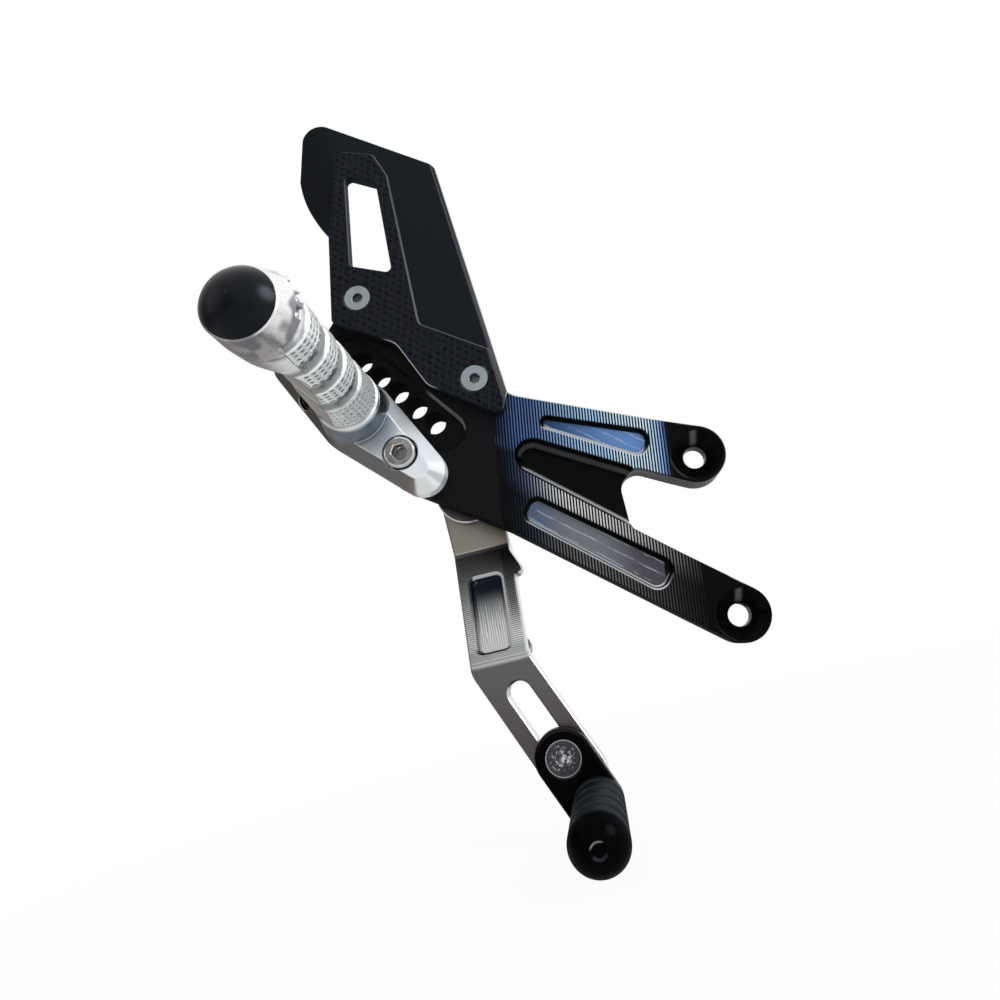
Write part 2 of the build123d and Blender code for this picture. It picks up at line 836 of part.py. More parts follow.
lever_back = lever_top_front + lever_thickness

with BuildPart() as lever:
    for start, start_radius, stop, stop_radius in (
        (pivot, lever_head_radius, low_point, half_width),
        (low_point, half_width, foot_end, half_width),
        (neck_point, half_width - 1, lever_ear, lever_ear_radius),
    ):
        with BuildSketch(facing(lever_back)):
            with Locations(start):
                Circle(start_radius)
            with Locations(stop):
                Circle(stop_radius)
            make_hull()
        extrude(amount=lever_back - lever_low_front)
    elbow = (low_point[0] + half_width, lever_low_front, low_point[1])
    fillet(lever.edges().filter_by(Axis.Y).sort_by_distance(elbow)[0], lever_side_radius)
    ear_foot = (lever_ear[0] - lever_ear_radius, lever_low_front, lever_ear[1] - lever_ear_radius)
    fillet(lever.edges().filter_by(Axis.Y).sort_by_distance(ear_foot)[0], lever_ear_blend)
    with BuildSketch(Plane.YZ):
        with BuildLine():
            Polyline(
                (lever_top_front, lever_top),
                (lever_top_front, lever_top_bend),
                (lever_low_front, lever_low_bend),
                (lever_low_front, lever_bottom),
                (lever_low_front + lever_thickness, lever_bottom),
                (lever_low_front + lever_thickness, lever_low_bend - back_shift),
                (lever_back, lever_top_bend - back_shift),
                (lever_back, lever_top),
                close=True,
            )
        make_face()
    extrude(amount=plate_reach, both=True, mode=Mode.INTERSECT)
    fillet(lever.edges().filter_by(Axis.X), lever_bend_radius)
    # Pocket in the inclined stretch
    pocket_length = incline_length - lever_pocket_top - lever_pocket_bottom
    with BuildSketch(incline_plane):
        with Locations((0, -lever_pocket_top - pocket_length / 2)):
            RectangleRounded(lever_pocket_width, pocket_length, lever_pocket_corner)
    extrude(amount=-lever_pocket_depth, taper=pocket_draft, mode=Mode.SUBTRACT)
    # Slot for the toe piece and bore for the pivot's bushes
    with BuildSketch(foot_plane):
        with Locations(((lever_slot_start + lever_slot_end) / 2, 0)):
            SlotCenterToCenter(lever_slot_end - lever_slot_start, lever_slot_width)
    extrude(amount=-lever_thickness, mode=Mode.SUBTRACT)
    with BuildSketch(facing(lever_top_front)):
        with Locations(pivot):
            Circle((bush_bore_d + press_clearance) / 2)
    extrude(amount=-lever_thickness, mode=Mode.SUBTRACT)
    with BuildSketch(incline_plane.offset(-lever_thickness)):
        with Locations(post_place):
            Circle((post_thread_d + press_clearance) / 2)
    extrude(amount=post_thread_length, mode=Mode.SUBTRACT)
save(lever, "lever")

with BuildPart(incline_plane.offset(-lever_thickness)) as spring_post:
    with Locations((*post_place, 0)):
        Cylinder(post_thread_d / 2, post_thread_length, align=standing)
        Cylinder(post_d / 2, post_length, align=hanging)
    with Locations((*post_place, -post_length)):
        Cylinder(post_head_d / 2, post_head_height, align=hanging)
save(spring_post, "spring_post")


# Pivot of the lever: shoulder bolt from behind with two flanged bushes, a spacer and a washer
bush_front = lever_top_front - bush_flange
washer_front = lever_back + bush_flange + seat_gap
pivot_head = washer_front + pivot_washer_thickness
shoulder_length = pivot_head - hub_back
shoulder_bore_d = shoulder_d + 2 * running_clearance

with BuildPart(inward(pivot, pivot_head)) as pivot_bolt:
    Cylinder(pivot_head_d / 2, pivot_head_height, align=standing)
    chamfer(pivot_bolt.edges().group_by(Axis.Y)[-1], cap_edge)
    Cylinder(shoulder_d / 2, shoulder_length, align=hanging)
    Cylinder(pivot_thread_d / 2, shoulder_length + pivot_thread_length, align=hanging)
    with BuildSketch(inward(pivot, pivot_head + pivot_head_height)):
        RegularPolygon(pivot_socket / sqrt(3), 6)
    extrude(amount=-pivot_socket_depth, mode=Mode.SUBTRACT)
save(pivot_bolt, "pivot_bolt")

bush_sleeve = (lever_thickness - seat_gap) / 2
for place, name in (
    (outward(pivot, lever_top_front), "pivot_bush_front"),
    (inward(pivot, lever_back), "pivot_bush_back"),
):
    with BuildPart(place) as pivot_bush:
        Cylinder(bush_flange_d / 2, bush_flange, align=standing)
        Cylinder(bush_bore_d / 2, bush_sleeve, align=hanging)
        Hole(shoulder_bore_d / 2)
    save(pivot_bush, name)

with BuildPart(inward(pivot, hub_back)) as pivot_spacer:
    Cylinder(spacer_d / 2, bush_front - seat_gap - hub_back, align=standing)
    Hole(shoulder_bore_d / 2)
save(pivot_spacer, "pivot_spacer")

with BuildPart(inward(pivot, washer_front)) as pivot_washer:
    Cylinder(pivot_washer_d / 2, pivot_washer_thickness, align=standing)
    Hole(shoulder_bore_d / 2)
save(pivot_washer, "pivot_washer")


# Toe piece: link that clamps in the lever's slot and carries the ribbed toe peg
toe_point = between(low_point, foot_end, toe_place)
toe_arm_end = between(low_point, foot_end, toe_place + toe_peg_reach)
toe_peg_point = (
    toe_arm_end[0] - toe_peg_side * foot_way[1],
    toe_arm_end[1] + toe_peg_side * foot_way[0],
)
foot_back = lever_low_front + lever_thickness
toe_bolt_sink = toe_bolt_head_height + seat_gap

with BuildPart() as toe_arm:
    with BuildSketch(facing(lever_low_front)):
        with Locations(toe_point):
            Circle(toe_boss_radius)
        with Locations(toe_arm_end):
            Circle(toe_end_radius)
        make_hull()
    extrude(amount=toe_arm_thickness)
    chamfer(toe_arm.faces().sort_by(Axis.Y)[0].edges(), toe_edge)
    with Locations(outward(toe_point, toe_front)):
        CounterSinkHole(
            (toe_screw_d + bolt_clearance) / 2, (toe_head_d + bolt_clearance) / 2, counter_sink_angle=90
        )
    with Locations(inward(toe_peg_point, lever_low_front)):
        CounterBoreHole(
            (toe_bolt_d + bolt_clearance) / 2, (toe_bolt_head_d + bolt_clearance) / 2, toe_bolt_sink
        )
save(toe_arm, "toe_arm")

clamped = toe_arm_thickness + lever_thickness + toe_washer_thickness + toe_nut_thickness
toe_screw = countersunk_screw(
    outward(toe_point, toe_front), toe_screw_d, toe_head_d, clamped + toe_screw_tail, toe_socket
)
save(toe_screw, "toe_screw")

with BuildPart(inward(toe_point, foot_back)) as toe_washer:
    Cylinder(toe_washer_d / 2, toe_washer_thickness, align=standing)
    Hole((toe_screw_d + bolt_clearance) / 2)
save(toe_washer, "toe_washer")

with BuildPart() as toe_nut:
    with BuildSketch(inward(toe_point, foot_back + toe_washer_thickness)):
        RegularPolygon(toe_nut_width / sqrt(3), 6)
        Circle((toe_screw_d + bolt_clearance) / 2, mode=Mode.SUBTRACT)
    extrude(amount=toe_nut_thickness)
save(toe_nut, "toe_nut")

toe_section = Plane(
    origin=(toe_peg_point[0], toe_front, toe_peg_point[1]), x_dir=(1, 0, 0), z_dir=(0, 0, 1)
)
toe_line = Axis(toe_section.origin, rider)
toe_radius = toe_peg_d / 2
toe_dome_radius = (toe_radius ** 2 + toe_peg_dome ** 2) / (2 * toe_peg_dome)

with BuildPart() as toe_peg:
    with BuildSketch(toe_section):
        with BuildLine():
            Polyline((0, -toe_peg_length - toe_peg_dome), (0, 0), (toe_radius, 0))
            Line((toe_radius, 0), (toe_radius, -toe_peg_length))
            RadiusArc((toe_radius, -toe_peg_length), (0, -toe_peg_length - toe_peg_dome), toe_dome_radius)
        make_face()
    revolve(axis=toe_line)
    with BuildSketch(toe_section):
        for i in range(toe_peg_grooves):
            with Locations((toe_radius, -toe_peg_groove_first - i * toe_peg_groove_pitch)):
                Rectangle(2 * toe_peg_groove_depth, toe_peg_groove)
    revolve(axis=toe_line, mode=Mode.SUBTRACT)
    with BuildSketch(outward(toe_peg_point, toe_front)):
        Circle((toe_bolt_d + bolt_clearance) / 2)
    extrude(amount=toe_bolt_reach - toe_arm_thickness + thread_runout, mode=Mode.SUBTRACT)
    with BuildSketch(outward(toe_peg_point, toe_front - toe_peg_length - toe_peg_dome)):
        Circle(toe_dimple_d / 2)
    extrude(amount=-toe_dimple_depth, mode=Mode.SUBTRACT)
save(toe_peg, "toe_peg")

toe_bolt_seat = lever_low_front - seat_gap
with BuildPart(inward(toe_peg_point, toe_bolt_seat)) as toe_peg_bolt:
    Cylinder(toe_bolt_head_d / 2, toe_bolt_head_height, align=hanging)
    Cylinder(toe_bolt_d / 2, toe_bolt_reach, align=hanging)
    with BuildSketch(inward(toe_peg_point, toe_bolt_seat)):
        RegularPolygon(guard_socket / sqrt(3), 6)
    extrude(amount=-toe_bolt_socket_depth, mode=Mode.SUBTRACT)
save(toe_peg_bolt, "toe_peg_bolt")
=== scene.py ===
from math import atan, atan2, cos, pi, radians, sin, tan

import bmesh
import bpy
from mathutils import Matrix, Vector


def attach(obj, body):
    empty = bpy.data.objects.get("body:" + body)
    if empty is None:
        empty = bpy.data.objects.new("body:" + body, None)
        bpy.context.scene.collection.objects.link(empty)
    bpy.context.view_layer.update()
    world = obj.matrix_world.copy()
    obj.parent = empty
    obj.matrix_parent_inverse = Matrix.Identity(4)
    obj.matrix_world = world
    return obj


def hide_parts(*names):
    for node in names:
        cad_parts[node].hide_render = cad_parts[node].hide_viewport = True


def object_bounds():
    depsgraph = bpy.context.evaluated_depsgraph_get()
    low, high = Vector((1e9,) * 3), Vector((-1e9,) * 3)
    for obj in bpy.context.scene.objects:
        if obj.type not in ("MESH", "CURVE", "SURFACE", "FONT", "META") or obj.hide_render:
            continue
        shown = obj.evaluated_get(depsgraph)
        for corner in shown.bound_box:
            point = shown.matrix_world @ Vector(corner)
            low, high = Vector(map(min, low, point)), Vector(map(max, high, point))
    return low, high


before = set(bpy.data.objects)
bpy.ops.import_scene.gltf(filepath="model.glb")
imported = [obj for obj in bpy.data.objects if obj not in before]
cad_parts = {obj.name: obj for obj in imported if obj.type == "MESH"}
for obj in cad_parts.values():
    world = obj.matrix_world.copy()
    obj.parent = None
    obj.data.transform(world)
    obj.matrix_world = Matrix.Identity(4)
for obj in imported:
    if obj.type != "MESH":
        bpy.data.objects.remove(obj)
cad_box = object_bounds()


# Bracket
# A plate milled from one aluminium billet and anodised black. Its hub is satin, its arms carry
# the cutter's lines across a sloping face, and two screw cones at their tips hold it to the frame.
def broken_edges(node, width):
    """Copy of a solid with its sharp edges rounded by a width in millimetres.

    Its attribute rim is 1 on the rounds, and own is the place from the piece's middle in millimetres.
    """
    sharp_angle = radians(28)
    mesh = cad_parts[node].data.copy()
    mesh.materials.clear()
    work = bmesh.new()
    work.from_mesh(mesh)
    bmesh.ops.remove_doubles(work, verts=work.verts, dist=1e-6)
    rim = work.faces.layers.float.new("rim")
    own = work.verts.layers.float_vector.new("own")
    shared = [edge for edge in work.edges if len(edge.link_faces) == 2]
    sharp = [edge for edge in shared if edge.calc_face_angle() > sharp_angle]
    rounds = bmesh.ops.bevel(
        work, geom=sharp, offset=width / 1000, offset_type="OFFSET", segments=1, profile=0.5,
        affect="EDGES", clamp_overlap=False, miter_outer="SHARP", miter_inner="SHARP",
    )
    for face in rounds["faces"]:
        face[rim] = 1.0
    low = [min(vert.co[axis] for vert in work.verts) for axis in range(3)]
    high = [max(vert.co[axis] for vert in work.verts) for axis in range(3)]
    middle = (Vector(low) + Vector(high)) / 2
    for vert in work.verts:
        vert[own] = (vert.co - middle) * 1000
    for face in work.faces:
        face.smooth = True
    for edge in work.edges:
        if len(edge.link_faces) == 2:
            edge.smooth = edge.calc_face_angle() < sharp_angle / 2
    work.to_mesh(mesh)
    work.free()
    piece = bpy.data.objects.new("dressed_" + node, mesh)
    bpy.context.scene.collection.objects.link(piece)
    return piece


class Flow:
    """A socket in a node tree. Arithmetic on it adds Math nodes, and add makes any other node."""

    def __init__(self, tree, socket):
        self.tree = tree
        self.socket = socket

    def add(self, kind, settings, sockets, output=0):
        """New node with its settings, then the values or links of its sockets; returns one output."""
        node = self.tree.nodes.new(kind)
        for name, value in settings.items():
            setattr(node, name, value)
        for key, value in sockets.items():
            if isinstance(value, Flow):
                self.tree.links.new(value.socket, node.inputs[key])
            else:
                node.inputs[key].default_value = value
        return Flow(self.tree, node.outputs[output])

    def maths(self, operation, *values):
        """Math node on numbers or sockets."""
        return self.add("ShaderNodeMath", {"operation": operation}, dict(enumerate(values)))

    def __add__(self, other):
        return self.maths("ADD", self, other)

    __radd__ = __add__

    def __sub__(self, other):
        return self.maths("SUBTRACT", self, other)

    def __rsub__(self, other):
        return self.maths("SUBTRACT", other, self)

    def __mul__(self, other):
        return self.maths("MULTIPLY", self, other)

    __rmul__ = __mul__

    def __truediv__(self, number):
        return self * (1 / number)

    def __pow__(self, other):
        return self.maths("POWER", self, other)

    def __abs__(self):
        return self.maths("ABSOLUTE", self)

    def larger(self, other):
        return self.maths("MAXIMUM", self, other)

    def smaller(self, other):
        return self.maths("MINIMUM", self, other)

    def fraction(self):
        return self.maths("FRACT", self)

    def wave(self, pitch):
        """From 0 to 1 and back over each pitch."""
        return self.maths("SINE", self * (2 * pi / pitch)) * 0.5 + 0.5

    def ramp(self, low, high):
        """Smooth rise from 0 at low to 1 at high. Where low is the larger one, it is a fall."""
        return self.add(
            "ShaderNodeMapRange", {"interpolation_type": "SMOOTHSTEP"},
            {"Value": self, "From Min": low, "From Max": high},
        )

    def above(self, limit, soft):
        """Smooth rise from 0 to 1 within soft on both sides of a limit."""
        return self.ramp(limit - soft, limit + soft)

    def below(self, limit, soft):
        """Smooth fall from 1 to 0 within soft on both sides of a limit."""
        return self.ramp(limit + soft, limit - soft)

    def band(self, start, full, fade, end):
        """Smooth rise from 0 at start to 1 at full, and fall from 1 at fade to 0 at end."""
        return self.ramp(start, full) * self.ramp(end, fade)

    def blend(self, first, second):
        """Colour that goes from first at 0 to second at 1."""
        pair = [tone if isinstance(tone, Flow) else (*tone, 1.0) for tone in (first, second)]
        return self.add("ShaderNodeMix", {"data_type": "RGBA"}, {0: self, 6: pair[0], 7: pair[1]}, 2)

    def tones(self, colour, *stops):
        """Colour that changes at each stop: where its own tone starts, where that is full, and the tone."""
        for start, full, tone in stops:
            colour = self.ramp(start, full).blend(colour, tone)
        return colour

    def split(self):
        """The three parts of a vector."""
        first = self.add("ShaderNodeSeparateXYZ", {}, {0: self})
        return [Flow(self.tree, socket) for socket in first.socket.node.outputs]


def start_finish(name, **sockets):
    """New material with constant sockets set; returns it and its place on the piece in millimetres."""
    material = bpy.data.materials.new(name)
    material.use_nodes = True
    tree = material.node_tree
    shader = tree.nodes["Principled BSDF"]
    for key, value in sockets.items():
        shader.inputs[key.replace("_", " ")].default_value = value
    place = Flow(tree, tree.nodes.new("ShaderNodeTexCoord").outputs["Object"])
    scaled = place.add("ShaderNodeVectorMath", {"operation": "SCALE"}, {0: place, "Scale": 1000})
    return material, scaled


def end_finish(material, colour, roughness, height, depth, metallic=None):
    """Links what varies over the surface to the material's shader; the relief's depth is in millimetres."""
    relief = height.add("ShaderNodeBump", {}, {"Height": height, "Distance": depth / 1000})
    varied = {"Base Color": colour, "Roughness": roughness, "Normal": relief}
    if metallic is not None:
        varied["Metallic"] = metallic
    tree = material.node_tree
    for key, flow in varied.items():
        tree.links.new(flow.socket, tree.nodes["Principled BSDF"].inputs[key])


def grain(place, size, detail=3):
    """Even noise between 0 and 1, with a grain size in millimetres."""
    return place.add("ShaderNodeTexNoise", {}, {"Vector": place, "Scale": 1 / size, "Detail": detail})


def marked(place, name):
    """Value of an attribute of the piece."""
    return place.add("ShaderNodeAttribute", {"attribute_name": name}, {}, "Fac")


def facing(place):
    """The three parts of the surface's normal on the piece."""
    return place.add("ShaderNodeTexCoord", {}, {}, "Normal").split()


def along(direction, first, second):
    """How far the two parts of a vector reach along a direction."""
    return first * direction[0] + second * direction[1]


def distance(first, second):
    """Length of the vector that has these two parts."""
    return (first ** 2 + second ** 2) ** 0.5


def painted(colour, *coats):
    """Lays coats over a colour in turn; a coat is how much of it shows and its own colour."""
    for share, tone in coats:
        colour = share.blend(colour, tone)
    return colour


def put_on(piece, material, body, slot, *nodes):
    """Gives a finished piece its material and its place in the frame."""
    piece.data.materials.append(material)
    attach(piece, body)
    if nodes:
        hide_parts(*nodes)


def dress(node, material, body, slot, edge):
    """Puts a finished copy of a solid, with its edges broken by a width in millimetres, in its place."""
    put_on(broken_edges(node, edge), material, body, slot, node)


# Places on the plate are in millimetres on the part's own axes. Its front folds twice, and the
# arms slope back between the folds, each from its root at the hub to its frame bolt.
bolt_rise = 34.0
upper_root = (-84.0, 74.3)
lower_root = (-76.0, 30.4)
lower_tip_reach = 7.0
hub_front = -20.0
hub_fold = -87.5
tip_fold = -17.0
fold_lean = radians(8)
arm_step = 7.0
pocket_depth = 2.4
cone_radius = 11.0
arm_line_pitch = 1.22
floor_line_pitch = 4.3
peg_axis = (-134.0, 81.0)
peg_lean = radians(36.3)
skyward = (cos(peg_lean), sin(peg_lean))
ground = (-cos(peg_lean), -sin(peg_lean))
slope = atan(arm_step / (tip_fold - hub_fold))
upper_fall = atan2(upper_root[1] - bolt_rise, -upper_root[0])
lower_fall = atan2(lower_root[1] + bolt_rise, -lower_root[0])

bracket_black, place = start_finish("bracket_black", Specular_IOR_Level=0.06)
x, y, z = place.split()
side_x, side_y, side_z = facing(place)
rim = marked(place, "rim")
across = x * cos(fold_lean) - z * sin(fold_lean)
level = (across - hub_fold) * sin(slope) - (y - hub_front) * cos(slope)
upper_side = x * sin(upper_fall) + (z - bolt_rise) * cos(upper_fall)
lower_side = x * sin(lower_fall) + (z + bolt_rise) * cos(lower_fall)
upper_arm = lower_side.ramp(15, 22)
hub = across.below(hub_fold, 1)

# Painted sheen lies along the cutter's lines, blue on the upper arm and grey on the lower one.
past_tip = across - tip_fold - (1 - upper_arm) * lower_tip_reach
on_arm = across.above(hub_fold, 0.4) * past_tip.ramp(2.0, -0.4)
on_slope = level.ramp(-0.35, -0.2) * on_arm
cutter = across.wave(arm_line_pitch)
upper_sheen = across.tones(
    (0.004, 0.009, 0.03),
    (hub_fold - 1, hub_fold + 12, (0.075, 0.16, 0.39)),
    (hub_fold + 12, -46, (0.42, 0.68, 1.0)),
    (-46, -33, (0.64, 0.86, 1.0)),
    (tip_fold - 7, tip_fold, (0.2, 0.4, 0.85)),
)
lower_sheen = across.tones((0.1, 0.18, 0.4), (-82, -58, (0.74, 0.74, 0.75)))
top_band = lower_side.ramp(1, 9) * 0.8 + 0.2
lower_fade = 1 - across.ramp(-52, tip_fold + 10) * 0.96
lower_sheen_level = top_band * across.ramp(hub_fold, -64) * lower_fade
upper_fade = 1 - upper_arm * across.ramp(tip_fold - 2.5, tip_fold + 1.8) * 0.93
patchy = grain(place, 7) * 0.5 + 0.7
sheen_lines = cutter.ramp(0.4, 0.8) * on_slope * upper_arm.larger(lower_sheen_level) * patchy * upper_fade

# The pockets' floors lie parallel to the slope and keep the end mill's path.
# Their colour, with its brighter lines along that path, is a painted sheen.
on_floor = abs(level + pocket_depth).ramp(0.3, 0.15) * side_y.ramp(-0.9, -0.97)
on_floor = on_floor * across.band(hub_fold + 6, hub_fold + 7, tip_fold - 7, tip_fold - 6)
mill_path = (lower_side + grain(place, 9) * 1.6).wave(floor_line_pitch)
hatch = (across + lower_side * 0.4).wave(1.15)
floor_share = 0.62 + hatch * 0.3 + mill_path.ramp(0.9, 1.0) * 0.5 + grain(place, 1.2) * 0.2
mill_path_sheen = mill_path.ramp(0.94, 1.0) * grain(place, 6).ramp(0.4, 0.6)
upper_floor_sheen = across.tones((0.022, 0.05, 0.125), (-72, -34, (0.14, 0.28, 0.58)))
lower_floor_sheen = across.tones(
    (0.09, 0.13, 0.22),
    (-78, -58, (0.19, 0.2, 0.235)),
    (-50, -30, (0.085, 0.082, 0.098)),
)

# Painted highlights lie along the pockets' lower edges, on two walls of the web, beside the slot, in the
# screw cones and around the tips.
in_web = upper_side.ramp(-6.5, -7.5) * lower_side.ramp(8, 9)
near_arms = across.band(hub_fold + 2, hub_fold + 12, tip_fold - 8, tip_fold)
pocket_edge_highlight = rim * side_z.ramp(0.2, 0.55) * (1 - in_web) * level.ramp(-3.2, -2.8)
web_foot_highlight = in_web * level.ramp(-2.6, -3.4) * side_z.ramp(0.3, 0.6) * side_y.ramp(-0.2, -0.3)
lit_edge = near_arms * (pocket_edge_highlight + web_foot_highlight * x.ramp(-24, -30))
lit_edge = lit_edge * (0.85 - in_web * level.ramp(-6.4, -4.4) * 0.45)
web_head_highlight = near_arms * side_z.ramp(-0.25, -0.45) * level.band(-7.2, -5.2, -4.2, -2.2)
web_head_highlight = web_head_highlight * lower_side.ramp(12, 15)
above_peg = along(skyward, x - peg_axis[0], z - peg_axis[1])
beside_slot = above_peg.ramp(25, 26) * across.ramp(hub_fold - 2, hub_fold - 4) * z.band(60, 66, 84, 89)
slot_edge_highlight = rim * along(ground, side_x, side_z).ramp(0.2, 0.5) * beside_slot
bolt_z = z - z.maths("SIGN", z) * bolt_rise
from_bolt = distance(x, bolt_z)
cone_glint = abs(x - bolt_z * 0.12).ramp(2.1, 0.3) * bolt_z.band(4.6, 6.4, cone_radius - 1.6, cone_radius)
cone_glint = cone_glint * from_bolt.ramp(cone_radius, cone_radius - 1) * side_y.band(-0.95, -0.85, -0.3, -0.1)
tip_edge_highlight = rim * from_bolt.band(11.6, 12.4, 15, 16) * side_x.ramp(0.1, 0.5) * side_y.ramp(-0.3, -0.5)

# The slot's recess is painted darker than the hub's face, as painted shade.
slot_shade = level.ramp(-2.2, -2.4) * hub
colour = painted(
    hub.blend((0.0012, 0.0013, 0.0018), (0.0056, 0.006, 0.0068)),
    (slot_shade * 0.7, (0.0014, 0.0016, 0.002)),
    (grain(place, 1.5) * hub * 0.5, (0.006, 0.0062, 0.0068)),
    (sheen_lines, upper_arm.blend(lower_sheen, upper_sheen)),
    (on_floor * floor_share, upper_arm.blend(lower_floor_sheen, upper_floor_sheen)),
    (on_floor * mill_path_sheen * 0.5, (0.5, 0.58, 0.7)),
    (lit_edge, (0.66, 0.68, 0.72)),
    (web_head_highlight * 0.8, (0.085, 0.088, 0.095)),
    (slot_edge_highlight * 0.4, (0.4, 0.39, 0.38)),
    (cone_glint * 0.5, (0.2, 0.21, 0.23)),
    (tip_edge_highlight * 0.3, (0.6, 0.62, 0.66)),
)
slot_wall = hub * side_y.ramp(-0.5, -0.3) * level.ramp(-0.3, -0.8)
low_wall = (1 - upper_arm) * side_z.ramp(-0.4, -0.7) * (1 - hub)
roughness = hub * 0.2 + 0.24 + grain(place, 0.8) * 0.06 + (slot_wall + low_wall) * 0.5
end_finish(bracket_black, colour, roughness, height=cutter * on_slope, depth=0.12)
dress("main_plate", bracket_black, "bracket", "bracket_black", edge=0.5)


# Peg carrier
# A silver anodised link of milled aluminium with a wide bevel around its rim. Two socket head
# bolts in deep counterbores clamp it to the hub, and its boss carries the peg.
carrier_front = -32.0
boss_radius = 15.2
carrier_end_reach = 37.0
lower_end_x = peg_axis[0] + carrier_end_reach * sin(peg_lean)
lower_end_z = peg_axis[1] - carrier_end_reach * cos(peg_lean)
side_hole = (-153.51, -28.17, 91.55)
side_hole_axis = (0.6856, 0.639, 0.3488)
side_hole_radius = 3.5

silver, place = start_finish("carrier_silver", Metallic=1.0)
x, y, z = place.split()
side_x, side_y, side_z = facing(place)
fine = grain(place, 0.5)
from_peg = distance(x - peg_axis[0], z - peg_axis[1])
# Painted shade darkens the front around the boss, and a painted dark reflection lies on the boss.
boss_dark_reflection = from_peg.below(boss_radius, 0.4) * y.below(carrier_front, 0.4)
shade_near_boss = from_peg.ramp(25, 17) * side_y.ramp(-0.9, -0.98)
# Painted shade darkens the bevel that faces the ground.
shaded_ground_wall = along(ground, side_x, side_z).ramp(0.3, 0.8)
# Painted reflections lie in wedges on the lower end's bevel: one bright, one grey and one brown.
round_end = place.maths("ARCTAN2", z - lower_end_z, x - lower_end_x)
on_end = side_y.ramp(-0.95, -0.85) * from_peg.ramp(34, 38)
facet_highlight = on_end * abs(round_end + 0.9).ramp(1.2, 0.9)
grey_facet_reflection = on_end * abs(round_end + 0.62).ramp(0.3, 0.1)
brown_facet_reflection = on_end * abs(round_end + 2.2).ramp(0.25, 0.1)
# Painted shade fills the blind hole in the side.
to_hole = [part - centre for part, centre in zip((x, y, z), side_hole)]
sunk = sum(part * way for part, way in zip(to_hole, side_hole_axis))
from_hole = (sum(part ** 2 for part in to_hole) - sunk ** 2) ** 0.5
hole_shade = from_hole.below(side_hole_radius, 0.1) * sunk.above(-0.8, 0.05)
colour = painted(
    grain(place, 16).ramp(0.3, 0.7).blend((0.76, 0.84, 0.9), (0.94, 0.97, 0.98)),
    (shade_near_boss * 0.65, (0.26, 0.32, 0.38)),
    (shaded_ground_wall * 0.92, (0.1, 0.088, 0.078)),
    (boss_dark_reflection * 0.9, (0.16, 0.2, 0.235)),
    (facet_highlight * 0.9, (0.96, 1.0, 1.0)),
    (grey_facet_reflection * 0.6, (0.3, 0.35, 0.38)),
    (brown_facet_reflection * 0.6, (0.28, 0.2, 0.2)),
    (hole_shade, (0.05, 0.045, 0.04)),
)
bare_end = from_peg.ramp(20, 34) * (1 - shaded_ground_wall) * 0.85
end_finish(silver, colour, fine * 0.08 + 0.26, metallic=1 - bare_end, height=fine, depth=0.005)
dress("peg_carrier", silver, "bracket", "carrier_silver", edge=0.2)


# Carrier bolts, peg bolt and peg pin
# Turned stainless steel. Two socket head bolts clamp the carrier, a countersunk bolt from behind
# holds the peg on it, and a pin beside that bolt keeps the peg from turning.
def own_place(place):
    """The three parts of the place from the piece's own middle, in millimetres."""
    return place.add("ShaderNodeAttribute", {"attribute_name": "own"}, {}, "Vector").split()


def own_radius(place):
    """Distance from the axis along Y through the piece's own middle, in millimetres."""
    own_x, _, own_z = own_place(place)
    return distance(own_x, own_z)


steel, place = start_finish("bolt_steel", Metallic=1.0)
fine = grain(place, 0.35)
turned = own_radius(place)
# Painted shade darkens the middle of each head around its axis, and a painted highlight lies on the rounded
# edges.
colour = painted(
    grain(place, 3).ramp(0.3, 0.7).blend((0.28, 0.27, 0.26), (0.46, 0.46, 0.46)),
    (turned.ramp(3.6, 3.3) * 0.7, (0.16, 0.15, 0.14)),
    (marked(place, "rim") * 0.8, (0.85, 0.85, 0.85)),
)
end_finish(steel, colour, fine * 0.1 + 0.16, height=turned.wave(0.55) * 0.5 + fine, depth=0.02)
for node in ("carrier_bolt_upper", "carrier_bolt_lower", "peg_bolt", "peg_pin"):
    dress(node, steel, "bracket", "bolt_steel", edge=0.3)


# Foot peg
# A silver aluminium bar turned with leaning grooves, knurled between them and flattened on the
# ground side. A bolt through the carrier holds it, and a skewed flange stops the boot.
peg_foot = -40.0
peg_rise = 1.8
groove_first = 24.6
groove_pitch = 15.4
groove_lean = tan(radians(8))
flange_start = -106.0

peg_silver, place = start_finish("peg_silver", Metallic=1.0)
x, y, z = place.split()
side_x, _, side_z = facing(place)
fine = grain(place, 0.6)
# Painted shade darkens the faces towards the ground.
shaded_underside = along(ground, side_x, side_z).ramp(0.45, 0.85)
above_axis = along(skyward, x - peg_axis[0], z - peg_axis[1]) - peg_rise
step = (peg_foot - y + above_axis * groove_lean - groove_first) / groove_pitch
in_step = (step + 0.5).fraction()
# Painted shading runs across each groove, dark on the foot's side and light on the head's side.
shaded_groove = in_step.band(0.28, 0.33, 0.67, 0.72) * step.band(-0.3, -0.2, 2.8, 2.9)
groove_shading = in_step.tones((0.16, 0.17, 0.18), (0.4, 0.65, (0.9, 0.9, 0.9)))
on_flange = y.ramp(flange_start, flange_start - 4)
# Painted shade darkens the flange's faces that point down.
flange_under_shade = along((0.45, 0.9), side_x, side_z).ramp(-0.25, -0.75)
flange_under_shade = flange_under_shade * y.ramp(flange_start - 2, flange_start - 6)
# A painted dark reflection lies on the flange's faces towards the lower right.
flange_dark_reflection = grain(place, 8, 1).ramp(0.47, 0.6) * on_flange * along((0.6, -0.8), side_x, side_z).ramp(0.1, 0.7)
bare_top = on_flange * along((0.55, 0.8), side_x, side_z).ramp(0.0, 0.6) * 0.55
on_land = marked(place, "land")
speckle = y.ramp(-64, -62) * grain(place, 0.9).ramp(0.62, 0.42)
